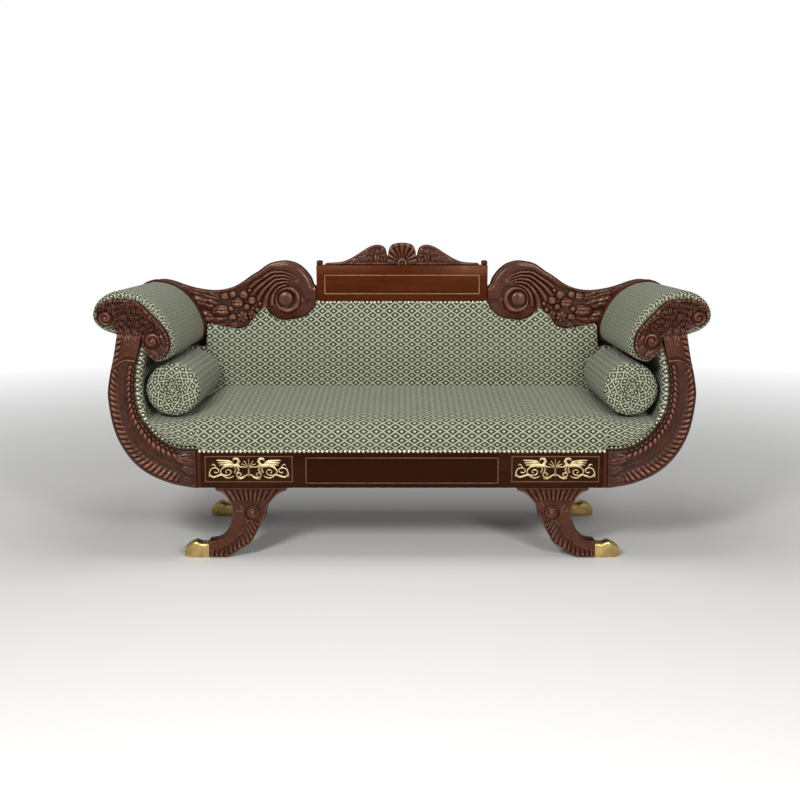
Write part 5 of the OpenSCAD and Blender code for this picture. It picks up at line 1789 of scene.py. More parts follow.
@dataclass
class RailMounts:
    """Front rail with its gilt mounts: winged beasts over scrolls, round a palmette."""

    width: float = 0.268
    height: float = 0.074
    high: float = 0.0040
    weight: float = 0.00112
    widest: float = 0.0062
    strokes: tuple[tuple[tuple[Point, ...], tuple[float, ...]], ...] = (
        (((0.20, 0.60), (0.26, 0.66), (0.36, 0.66), (0.48, 0.68), (0.60, 0.62), (0.66, 0.52)),
         (1.2, 5.0, 6.6, 7.0, 4.4, 2.4)),
        (((0.30, 0.70), (0.25, 0.84), (0.27, 0.96), (0.36, 0.97), (0.38, 0.88)), (4.6, 4.0, 4.0, 3.4, 1.2)),
        (((0.27, 0.92), (0.22, 0.88), (0.215, 0.80)), (2.0, 1.5, 0.6)),
        (((0.38, 0.72), (0.46, 0.84), (0.60, 0.88), (0.76, 0.90), (0.79, 0.88)), (3.2, 4.0, 3.2, 2.2, 0.8)),
        (((0.40, 0.66), (0.50, 0.77), (0.62, 0.79), (0.72, 0.79), (0.77, 0.78)), (3.0, 3.6, 3.0, 2.2, 0.7)),
        (((0.42, 0.60), (0.52, 0.69), (0.62, 0.70), (0.70, 0.69), (0.74, 0.67)), (2.8, 3.2, 2.6, 1.8, 0.6)),
        (((0.24, 0.62), (0.17, 0.60), (0.10, 0.60), (0.05, 0.58)), (2.4, 1.7, 1.5, 1.2)),
        (((0.28, 0.58), (0.24, 0.46), (0.29, 0.36), (0.24, 0.30)), (2.6, 1.9, 1.5, 1.2)),
        (((0.34, 0.58), (0.32, 0.46), (0.36, 0.38), (0.33, 0.32)), (2.4, 1.8, 1.4, 1.1)),
        (((0.62, 0.56), (0.69, 0.46), (0.68, 0.30), (0.58, 0.22), (0.47, 0.26), (0.44, 0.40), (0.51, 0.48),
          (0.57, 0.40), (0.54, 0.32)), (2.0, 2.2, 2.2, 2.1, 2.0, 1.8, 1.6, 1.4, 2.2)),
        (((0.62, 0.16), (0.66, 0.24), (0.76, 0.20), (0.88, 0.14), (0.97, 0.28), (0.93, 0.50), (0.82, 0.56),
          (0.74, 0.46), (0.78, 0.34), (0.85, 0.36)), (1.4, 2.4, 3.2, 2.8, 2.4, 2.2, 2.0, 1.7, 1.5, 2.2)),
        (((0.62, 0.18), (0.52, 0.10), (0.42, 0.14), (0.37, 0.20)), (2.2, 2.2, 1.6, 0.7)),
        (((0.97, 0.28), (0.99, 0.20), (0.96, 0.14)), (1.6, 1.2, 0.6)),
        (((0.80, 0.56), (0.83, 0.66), (0.88, 0.72), (0.92, 0.66)), (1.5, 1.8, 2.2, 0.8)),
        (((0.02, 0.26), (0.09, 0.20), (0.18, 0.12), (0.28, 0.16), (0.30, 0.28), (0.23, 0.34), (0.18, 0.27),
          (0.22, 0.22)), (2.0, 2.2, 2.2, 2.1, 1.9, 1.6, 1.4, 1.9)),
        (((0.10, 0.14), (0.20, 0.06), (0.30, 0.08)), (1.2, 1.6, 0.6)),
        (((0.0, 0.16), (0.0, 0.30), (0.0, 0.46), (0.0, 0.58)), (2.4, 3.2, 2.6, 3.4)),
        (((0.0, 0.60), (0.0, 0.78), (0.0, 0.97)), (1.4, 1.6, 2.0)),
        (((0.02, 0.62), (0.07, 0.78), (0.115, 0.88)), (1.0, 1.4, 1.8)),
        (((0.03, 0.62), (0.11, 0.70), (0.17, 0.74)), (1.0, 1.4, 1.7)),
        (((0.03, 0.60), (0.10, 0.60), (0.14, 0.62)), (1.0, 1.1, 1.2)))

    @property
    def centre(self) -> Point:
        """Middle of the right-hand mount's lower edge."""
        return (S.leg_x + 0.46 * S.leg_w, S.leg_h + 0.52 * S.rail_h - self.height / 2)

    def mount(self) -> Piece:
        """The right-hand mount."""
        parts = []
        cx, cz = self.centre
        for k, (points, widths) in enumerate(self.strokes):
            for sx in (1, -1):
                spots = [(cx + sx * px * self.width / 2, cz + pz * self.height) for px, pz in points]
                half = [min(w * self.weight, self.widest) for w in widths]
                high = self.high * (0.62 + 0.38 * max(widths) / 7.0)
                parts.append(stroke(f"stroke_{k}_{sx}", spots, half, S.rail_y, high))
        return joined("griffin_mount_right", parts)

    def build(self) -> None:
        """Makes the rail and its mounts."""
        rail = bevelled_box("show_rail", (0, S.rail_y + S.rail_t / 2, S.leg_h + S.rail_h / 2),
                            (S.rail_w, S.rail_t, S.rail_h), 0.0016)
        dressed(rail, Look.RAIL, Slot.MAHOGANY, BODY, "front_rail")
        pair(self.mount(), Look.MOUNT, Slot.BRASS, "rail_mount")


@dataclass
class NailRows:
    """Brass nail heads along the edges of the upholstery."""

    pitch: float = 0.0150
    radius: float = 0.0060
    high: float = 0.0030

    def row(self, name: str, spots: Array, normals: Array) -> Piece:
        """Sets one nail head on each place.

        Args:
            name: The row's name.
            spots: Places of the heads.
            normals: The way each head faces.

        Returns:
            The row, as one piece.
        """
        bpy.ops.object.select_all(action="DESELECT")
        bpy.ops.mesh.primitive_uv_sphere_add(segments=10, ring_count=6, radius=1.0, location=(0, 0, 0))
        obj = named(name)
        in_edit(obj, "VERT", read_points(obj)[:, 2] < -0.3, lambda: bpy.ops.mesh.delete(type="VERT"))
        form = read_points(obj)
        form[:, 2] = np.where(form[:, 2] < 0, -0.15, form[:, 2])
        write_points(obj, form)
        n, apart = len(spots), 4.0
        array = obj.modifiers.new("row", "ARRAY")
        array.count = n
        array.use_relative_offset = False
        array.use_constant_offset = True
        array.constant_offset_displace = (apart, 0, 0)
        apply_modifiers(obj)
        cloud = read_points(obj)
        which = np.clip(np.rint(cloud[:, 0] / apart).astype(int), 0, n - 1)
        local = cloud - spots_of(which * apart, 0.0, 0.0)
        up = normals / np.linalg.norm(normals, axis=1)[:, None]
        side = np.cross(up, np.where(np.abs(up[:, :1]) > 0.9, [[0, 1.0, 0]], [[1.0, 0, 0]]))
        side /= np.linalg.norm(side, axis=1)[:, None]
        third = np.cross(up, side)
        rng = np.random.default_rng(len(name) + n)
        tilt = up + 0.06 * rng.standard_normal(up.shape)
        wide, deep, high = local[:, :1] * self.radius, local[:, 1:2] * self.radius, local[:, 2:] * self.high
        write_points(obj, spots[which] + side[which] * wide + third[which] * deep + tilt[which] * high)
        write_carve(obj, 0.3 + 0.7 * np.clip(local[:, 2], 0, 1))
        smooth(obj, 80.0)
        return dressed(obj, Look.NAILS, Slot.BRASS, BODY)

    def along(self, line: Array) -> Array:
        """Places a pitch apart along a line of 3-D points."""
        run = lengths(line)
        count = max(2, round(run[-1] / self.pitch))
        at = (np.arange(count) + 0.5) / count * run[-1]
        return np.stack([np.interp(at, run, line[:, k]) for k in range(line.shape[1])], 1)


def tube_piece(name: str, around: int, along: int, place: Form,
               cloth: Form) -> Piece:
    """A grid that closes round on itself, with its open ends capped.

    Args:
        name: The piece's name.
        around: Cells round it.
        along: Cells along it.
        place: Gives each vertex its place from its shares round and along.
        cloth: Gives each vertex its place on the flat cloth.

    Returns:
        The closed piece.
    """
    obj, a, b = grid_piece(name, around, along, place)
    write_map(obj, cloth(a, b))
    sealed(obj)
    return obj


def settled(obj: Piece, held: Array, pressure: float, cap: float, frames: int = 16) -> None:
    """Lets a stuffed cover take up its filling as cloth.

    Args:
        obj: The piece.
        held: How firmly each vertex is tacked down, from 0 to 1.
        pressure: Push of the filling.
        cap: How far a vertex may move, in metres.
        frames: Steps of the simulation.
    """
    before = read_points(obj)
    group = obj.vertex_groups.new(name="tacked")
    for level in np.unique(held.round(1)):
        group.add(np.flatnonzero(held.round(1) == level).tolist(), float(level), "REPLACE")
    solo(obj)
    fill = obj.modifiers.new("fill", "CLOTH")
    cloth = fill.settings
    cloth.quality = 5
    cloth.mass = 0.3
    cloth.tension_stiffness = cloth.compression_stiffness = 30.0
    cloth.bending_stiffness = 2.0
    cloth.use_pressure = True
    cloth.uniform_pressure_force = pressure
    cloth.vertex_group_mass = group.name
    cloth.effector_weights.gravity = 0.0
    fill.collision_settings.use_collision = False
    fill.point_cache.frame_start, fill.point_cache.frame_end = 1, frames
    for step in range(1, frames + 1):
        bpy.context.scene.frame_set(step)
    apply_modifiers(obj)
    obj.vertex_groups.clear()
    bpy.context.scene.frame_set(1)
    move = read_points(obj) - before
    far = np.linalg.norm(move, axis=1)
    move *= (cap * np.tanh(far / cap) / np.maximum(far, 1e-9))[:, None]
    write_points(obj, before + np.nan_to_num(move))
    LOG.info("%s: cloth moved it %.1f mm at most", obj.name, 1000 * float(np.nanmax(np.minimum(far, cap))))


def creases(x: Array, y: Array, size: float, seed: int) -> Array:
    """Soft uneven waves between -1 and 1, made of a few fixed sines."""
    rng = np.random.default_rng(seed)
    total = np.zeros_like(x)
    for _ in range(9):
        a, p = rng.uniform(0, 2 * np.pi, 2)
        k = 2 * np.pi / (size * rng.uniform(0.6, 1.8))
        total += np.sin(k * (x * math.cos(a) + y * math.sin(a)) + p)
    return total / 9 ** 0.5 / 1.6


@dataclass
class Upholstery:
    """Seat, back, inner arms, rolls and covers, in lattice cloth."""

    profile: tuple[Point, ...] = ((0, 0), (-0.012, 0.25), (-0.013, 0.48), (0.002, 0.72), (0.035, 0.88),
                                  (0.08, 0.95), (0.14, 0.98), (0.22, 0.99), (0.34, 1), (0.58, 1), (0.82, 1),
                                  (1, 1))
    roll_centre: Point = (0.815, 0.760)
    lip: float = 0.007
    roll_lip: float = 0.024
    gathered: float = 0.90

    def crown(self, x: Array, s: Array) -> Array:
        """Extra rise of the seat between the bolsters."""
        axis = S.rail_w / 2 + 0.25 * S.arm_out
        start, end = axis - S.bolster_r * 1.30, axis - S.bolster_r * 0.16
        return S.crown_h * ease((end - np.abs(x)) / (end - start)) * (0.25 + 0.75 * ease(s))

    def seat(self) -> Piece:
        """The crowned seat between the arms."""
        gap = shifted(curve(INNER, 161), S.lining_t + HAIR)
        keep = gap[(np.arange(161) < 80) & (gap[:, 1] < S.seat_z - 0.0018)]
        flat = np.linspace(0, 1, 70)[:-1] * (keep[0, 0] - HAIR)
        side_x = np.concatenate([flat, keep[:, 0]])
        side_z = np.concatenate([np.full(len(flat), S.rail_top), keep[:, 1]])
        xs = np.concatenate([-side_x[::-1], side_x[1:]])
        zs = np.concatenate([side_z[::-1], side_z[1:]])
        deep = S.seat_back_y - HAIR - S.rail_y
        line = curve(self.profile, 85)
        line = np.concatenate([line, spots_of(np.linspace(1, 0, 13), np.zeros(13))])
        n, m = len(xs) - 1, len(line) - 1

        def place(a: Array, b: Array) -> Array:
            i, j = cell(a, n), cell(b, m)
            s0, s1 = line[j, 0], line[j, 1]
            z = zs[i] + s1 * (S.seat_z - HAIR - zs[i]) + self.crown(xs[i], s0) * np.clip((s1 - 0.3) * 2, 0, 1)
            top = (s1 > 0.8) & (s0 < 0.93) & (s0 > 0.03)
            z = z + top * 0.0016 * creases(xs[i], s0 * deep, 0.16, 3) * ease((0.72 - np.abs(xs[i])) / 0.08)
            return spots_of(xs[i], S.rail_y + s0 * deep, z)

        obj, a, b = grid_piece("seat_cover", n, m, place)
        spots = read_points(obj)
        run = lengths(spots_of(line[:, 0] * deep, line[:, 1] * S.seat_h))
        write_map(obj, spots_of(spots[:, 0], run[cell(b, m)] * 1.17))
        sealed(obj)
        spots = read_points(obj)
        free = ease((spots[:, 2] - S.rail_top) / 0.05) * ease((0.70 - np.abs(spots[:, 0])) / 0.06)
        held = 1 - free * ease((S.seat_back_y - 0.01 - spots[:, 1]) / 0.05)
        settled(obj, held, 2.5, 0.004)
        return dressed(obj, Look.CLOTH, Slot.FABRIC, BODY, "seat_pad")

    def back(self) -> Piece:
        """The padded back under the crest."""
        crest = Crest()
        wall = shifted(curve(INNER, 200), S.lining_t + 0.0012)
        belly = wall[:, 0].max()

        def top_at(x: Array) -> Array:
            upper = wall[np.argmax(wall[:, 0]):]
            roof = np.interp(x, upper[::-1, 0], upper[::-1, 1])
            return np.minimum(crest.under(x) - 0.0009, np.where(x > 0.731, np.minimum(roof, 0.655), 9.0))

        lower = wall[: np.argmax(wall[:, 0]) + 1]
        half_x = np.unique(np.concatenate([np.linspace(0, 0.30, 50), np.linspace(0.30, 0.676, 130),
                                           np.linspace(0.6797, belly - 0.004, 60)]))
        xs = np.concatenate([-half_x[::-1], half_x[1:]])
        ax = np.abs(xs)
        z1 = top_at(ax)
        z0 = np.where(ax < S.rail_w / 2 - 0.002, S.rail_top, np.interp(ax, lower[:, 0], lower[:, 1]) + 0.0005)
        n, m = len(xs) - 1, 74
        base, face_end = S.seat_z + S.crown_h, S.crest_y - 0.0015

        def place(a: Array, b: Array) -> Array:
            i = cell(a, n)
            j = np.rint(b * m)
            s = np.clip((j - 1) / (m - 2), 0, 1) ** 0.9
            z = z0[i] + s * (z1[i] - z0[i])
            t = np.clip((z - base) / (S.tablet_z - base), 0, 1.05)
            y = S.seat_back_y + (face_end - S.seat_back_y) * (0.25 * t + 0.75 * t ** 3)
            swell = 0.004 * np.sin(np.pi * s) ** 0.7 * ease((0.80 - np.abs(xs[i])) / 0.2)
            near = np.clip((z1[i] - z) / 0.012, 0, 1)
            y = y - swell + 0.006 * (1 - near) ** 2 + 0.0012 * creases(xs[i], z, 0.17, 5) * near
            y = np.where((j < 0.5) | (j > m - 0.5), S.frame_y - HAIR, y)
            return spots_of(xs[i], np.minimum(y, S.frame_y - HAIR), z)

        obj, a, b = grid_piece("back_cover", n, m, place)
        spots = read_points(obj)
        write_map(obj, spots_of(spots[:, 0] + 0.004, spots[:, 2] * 1.09 - spots[:, 1] * 0.2))
        sealed(obj)
        return dressed(obj, Look.CLOTH, Slot.FABRIC, BODY, "back_pad")

    def lining(self) -> Piece:
        """The padded inside of the right arm."""
        count, y0, y1, t = 150, S.facing_back, S.rear_post_y, S.lining_t
        base = curve(INNER, count + 1)
        left = left_of(base)
        turn = np.linspace(0, np.pi / 2, 11)
        inner = [(y1, t)] + [(y, t) for y in np.linspace(y1, y0 + 0.020, 34)[1:]]
        back = [(y0 + 0.020 - 0.004 * s, t + self.lip * ease(s) * 0.55) for s in (0.34, 0.67)]
        drop = 0.011 + self.lip
        front = [(y0 + 0.016 * (1 - math.sin(q)), t + self.lip - drop * (1 - math.cos(q))) for q in turn]
        ring = np.array([(y1, 0.0)] + inner + back + front + [(y0, 0.0), (y1, 0.0)])
        m = len(ring) - 1
        run, round_it = lengths(base), lengths(ring)
        full = ease((base[:, 1] - S.seat_z - 0.002) / 0.030) * (1 - ease((base[:, 1] - 0.700) / 0.035))

        def place(a: Array, b: Array) -> Array:
            i, j = cell(b, count), cell(a, m)
            deep = ring[j, 1]
            thick = np.where(deep > 0.003, np.minimum(deep, t + (deep - t) * full[i]), deep)
            spot = base[i] + left[i] * thick[:, None]
            spot[:, 0] = np.maximum(spot[:, 0], S.rail_w / 2)
            return spots_of(spot[:, 0], ring[j, 0], spot[:, 1])

        def cloth(a: Array, b: Array) -> Array:
            i, j = cell(b, count), cell(a, m)
            return spots_of(0.85 * round_it[j], run[i])

        return tube_piece("arm_inside_right", m, count, place, cloth)

    def roll(self) -> Piece:
        """The padded roll on the right arm."""
        contour = curve(ROLL, 132)
        stem = np.array([S.arm([(0.519, 0.768)])[0]])
        lining = shifted(curve(INNER, 41), S.lining_t)[-1:]
        bridge = np.concatenate([lining, stem, contour[:1]])
        bridge = np.stack([np.interp(np.linspace(0, 1, 16), [0, 0.14, 1], bridge[:, k]) for k in (0, 1)], 1)
        loop = np.concatenate([contour, bridge[:-1]])
        n = len(loop)
        c = np.array(self.roll_centre)
        run = lengths(np.concatenate([loop, loop[:1]]))
        y0, y1 = S.facing_back, S.rear_post_y
        full, lip_r = self.gathered, self.roll_lip
        caps, turn = np.linspace(0, full, 12), np.linspace(0, np.pi / 2, 13)[1:]
        rows = [(y0, q) for q in caps]
        rows += [(y0 + lip_r * (1 - math.cos(q)), full + (1 - full) * math.sin(q)) for q in turn]
        rows += [(y, 1.0) for y in np.linspace(y0 + lip_r, y1, 52)[1:]]
        rows += [(y1, q) for q in (0.6, 0.0)]
        rows = np.array(rows)
        m = len(rows) - 1
        deep = lengths(rows * (1, 0.16))

        def spot(a: Array, b: Array) -> tuple[Array, Array, Array]:
            i, j = cell(a, n) % n, cell(b, m)
            edge = loop[i]
            near = (rows[j, 1] > full - 0.01) & (rows[j, 1] < 1)
            short = np.linalg.norm(edge - c, axis=1)
            drawn = np.where(rows[j, 1] < 1, 1 - lip_r / np.maximum(short, 0.03) / 2, 1)
            flat = c + (edge - c) * (rows[j, 1] * drawn)[:, None]
            lip = lip_r * (1 - np.sin(np.arccos(np.clip(1 - (rows[j, 0] - y0) / lip_r, -1, 1))))
            ring = edge + (c - edge) * (lip / np.maximum(short, 1e-6))[:, None]
            return np.where(near[:, None], ring, flat), i, j

        def place(a: Array, b: Array) -> Array:
            flat, i, j = spot(a, b)
            return spots_of(flat[:, 0], rows[j, 0], flat[:, 1])

        def cloth(a: Array, b: Array) -> Array:
            flat, i, j = spot(a, b)
            i_run = np.where(cell(a, n) >= n, run[-1], run[i])
            return spots_of(1.25 * deep[j], 1.15 * i_run)

        obj = tube_piece("roll_cover_right", n, m, place, cloth)
        spots = read_points(obj)
        held = 1 - ease((spots[:, 1] - y0 - 0.02) / 0.05) * ease((y1 - 0.01 - spots[:, 1]) / 0.04)
        settled(obj, held, 1.5, 0.003)
        return obj

    def outside(self) -> Piece:
        """The tight cover on the outside of the right arm."""
        count = 90
        outer = curve(OUTER, count + 1)
        inner = shifted(outer, S.cover_t)
        run = lengths(outer)
        y0, y1 = S.facing_back, S.rear_post_y
        ring = np.array([(y1, 0.0), (y0, 0.0), (y0, 1.0), (y1, 1.0), (y1, 0.0)])
        steps = 24
        sides = [np.linspace(p, q, steps + 1)[:-1] for p, q in zip(ring[:-1], ring[1:])]
        fine = np.concatenate(sides + [ring[-1:]])
        m = len(fine) - 1

        def place(a: Array, b: Array) -> Array:
            i, j = cell(b, count), cell(a, m)
            spot = outer[i] * (1 - fine[j, 1:2]) + inner[i] * fine[j, 1:2]
            spot[:, 0] = np.maximum(spot[:, 0], S.rail_w / 2)
            return spots_of(spot[:, 0], fine[j, 0], spot[:, 1])

        def cloth(a: Array, b: Array) -> Array:
            i, j = cell(b, count), cell(a, m)
            return spots_of(fine[j, 0], run[i])

        return tube_piece("arm_outside_right", m, count, place, cloth)

    def arms(self) -> None:
        """Makes both arms' covers."""
        run = float(lengths(curve(OUTER, 91))[-1])
        pair(self.lining(), Look.CLOTH, Slot.FABRIC, "arm_lining",
             soft=lambda obj, side: obj)
        pair(self.roll(), Look.CLOTH, Slot.FABRIC, "arm_roll",
             soft=lambda obj, side: obj)
        pair(self.outside(), Look.CLOTH, Slot.FABRIC, "outside_arm", soft=lambda obj, side: obj)


@dataclass
class Bolsters:
    """Loose round bolsters with gathered ends drawn in by a button."""

    folds: int = 18
    axis_z: float = 0.5673
    front_y: float = -0.302

    @property
    def axis_x(self) -> float:
        """How far the axis of a bolster lies from the middle."""
        return S.rail_w / 2 + 0.25 * S.arm_out

    def bolster(self) -> Piece:
        """The right bolster."""
        r, long = S.bolster_r, S.bolster_l
        end = [(0.055, 0.0), (0.055, 0.10), (0.05, 0.2), (0.018, 0.31), (-0.01, 0.42), (-0.02, 0.64),
               (0.03, 0.84), (0.12, 0.95), (0.25, 0.995), (0.40, 1.0)]
        fine = curve(end, 52) + (0.07, 0)
        near = fine * r
        body = spots_of(np.linspace(near[-1, 0], long - near[-1, 0], 52)[1:-1], r)
        line = np.concatenate([near, body, (near * (-1, 1) + (long, 0))[::-1]])
        line[0, 1] = line[-1, 1] = 0.0006
        run = lengths(line)
        around, m = 144, len(line) - 1
        rng = np.random.default_rng(11)
        jitter = rng.uniform(-0.5, 0.5, self.folds)

        def place(a: Array, b: Array) -> Array:
            j = cell(b, m)
            th = 2 * np.pi * a - np.pi / 2
            rad = line[j, 1]
            share = rad / r
            k = np.floor(a * self.folds).astype(int) % self.folds
            wave = ridges(self.folds * a, 0.7) - 0.6
            fold = np.interp(share, [0, 0.1, 0.3, 0.55, 0.85, 1], [0.0, 0.55, 1.0, 0.6, 0.12, 0.0])
            deep = 0.0052 * fold * (1 + 0.3 * jitter[k])
            middle = np.sign(long / 2 - line[j, 0])
            y = self.front_y + line[j, 0] - middle * deep * wave * (share < 0.999)
            soft = 0.0012 * creases(th * r, line[j, 0], 0.13, 21) * (share > 0.97)
            rr = rad + soft - 0.0022 * (np.sin(th) < -0.9) * (share > 0.97)
            return spots_of(self.axis_x + rr * np.cos(th), y, self.axis_z + rr * np.sin(th))

        def cloth(a: Array, b: Array) -> Array:
            j = cell(b, m)
            share = np.clip(line[j, 1] / r, 0, 1)
            return spots_of(a * 2 * np.pi * r * (0.30 + 0.70 * share) + (1 - share) * 0.7 * np.pi * r, run[j])

        obj = tube_piece("bolster_cover_right", around, m, place, cloth)
        spots = read_points(obj)
        rad = np.hypot(spots[:, 0] - self.axis_x, spots[:, 2] - self.axis_z)
        settled(obj, 1 - ease((rad - 0.02) / 0.03) * 0.9, 2.0, 0.003)
        self.gathered_map(obj)
        spots = read_points(obj)
        spots[:, 2] = np.maximum(spots[:, 2], S.seat_z + 0.0004)
        write_points(obj, spots)
        return obj

    def gathered_map(self, obj: Piece) -> None:
        """Maps the cloth of both ends in wedges, as it is folded in towards the button.

        Args:
            obj: The bolster.
        """
        mesh = obj.data
        spots = read_points(obj)
        corner, face = np.empty(len(mesh.loops), int), np.empty(len(mesh.polygons), int)
        mesh.loops.foreach_get("vertex_index", corner)
        mesh.polygons.foreach_get("loop_total", face)
        owner = np.repeat(np.arange(len(face)), face)
        flat = spots[corner][:, [0, 2]] - (self.axis_x, self.axis_z)
        middle = np.stack([np.bincount(owner, flat[:, k]) / face for k in (0, 1)], 1)[owner]
        step = 2 * np.pi / self.folds * 2
        wedge = np.floor((np.arctan2(middle[:, 1], middle[:, 0]) + np.pi / 2) / step)
        turn = (wedge + 0.5) * step - np.pi / 2
        along = flat[:, 0] * np.cos(turn) + flat[:, 1] * np.sin(turn)
        across = flat[:, 1] * np.cos(turn) - flat[:, 0] * np.sin(turn)
        uv = np.empty(len(mesh.loops) * 2)
        layer = mesh.uv_layers.active.data
        layer.foreach_get("uv", uv)
        uv = uv.reshape(-1, 2)
        end = (np.hypot(middle[:, 0], middle[:, 1]) < 0.955 * S.bolster_r)
        folded = 1.22 * spots_of(across + 0.0173 * wedge, along + 0.0071 * wedge)
        layer.foreach_set("uv", np.where(end[:, None], folded, uv).ravel())

    def button(self) -> Piece:
        """The covered buttons in both ends of the right bolster."""
        parts, sunk = [], 0.0105
        for y, way in ((self.front_y + sunk, -1), (self.front_y + S.bolster_l - sunk, 1)):
            def place(a: Array, b: Array) -> Array:
                th, dome = 2 * np.pi * a, np.pi * 0.5 * np.clip(b * 1.25, 0, 1)
                hem = np.clip((b - 0.8) / 0.2, 0, 1)
                rad = 0.0091 * np.sin(dome) * (1 - 0.35 * hem)
                up = 0.0035 * np.cos(dome) - 0.0025 * hem
                pleat = 1 + 0.03 * np.cos(8 * th) * np.clip(b, 0, 1)
                return spots_of(self.axis_x + rad * pleat * np.cos(th), y + way * up,
                                self.axis_z + rad * pleat * np.sin(th))

            parts.append(tube_piece("button_part", 40, 14, place, lambda a, b: 0.02 * spots_of(
                np.cos(6.283 * a) * b, np.sin(6.283 * a) * b)))
        return joined("bolster_button_right", parts)

    def build(self) -> None:
        """Makes both bolsters and their buttons."""
        pair(self.bolster(), Look.CLOTH, Slot.FABRIC, "bolster", "bolster",
             lambda obj, side: obj)
        pair(self.button(), Look.CLOTH, Slot.FABRIC, "bolster_buttons", "bolster")


@dataclass
class Trim:
    """Nail rows of the sofa."""

    nails: NailRows = field(default_factory=NailRows)
    arm_in: float = 0.0050
    crest_in: float = 0.0066
    sunk: float = 0.0008

    def build(self) -> None:
        """Sets every row."""
        n = self.nails
        z = S.rail_top + 0.0015
        spots = n.along(np.array([(sx * (S.rail_w / 2 - 0.004), S.rail_y - self.sunk, z) for sx in (-1, 1)]))
        n.row("rail_nails", spots, np.tile([(0, -1.0, 0.15)], (len(spots), 1)))
        edge = shifted(spline(INNER, np.linspace(0.02, 0.985, 200)), self.arm_in)
        sunk = S.facing_back - self.sunk + 0.0032 * ease((edge[:, 1] - 0.42) / 0.1)
        path = spots_of(edge[:, 0], sunk, edge[:, 1])
        spots = n.along(path)
        line = Crest().outline()
        low = line[np.argmax(line[:, 0] == line[119, 0]) + 1:-4]
        low = low[(low[:, 0] < 0.735) & (low[:, 0] > S.tablet_w / 2 - 0.001)]
        edge = shifted(low, self.crest_in)
        away, _, _ = nearest(edge[:, 0], edge[:, 1], low)
        edge = edge[(away > 0.0062) & (edge[:, 1] < S.tablet_z - 0.004)]
        flat = spots_of(np.linspace(edge[-1, 0] - 0.012, 0.004, 30), S.tablet_z - self.crest_in)
        edge = np.concatenate([edge, flat])
        crest = n.along(spots_of(edge[:, 0], S.crest_y - 0.0018, edge[:, 1]))
        for side in Side:
            for name, row in (("crest_nails", crest), ("arm_nails", spots)):
                n.row(f"{name}_{side.word}", row * (side.value, 1, 1), np.tile([(0, -1.0, 0)], (len(row), 1)))


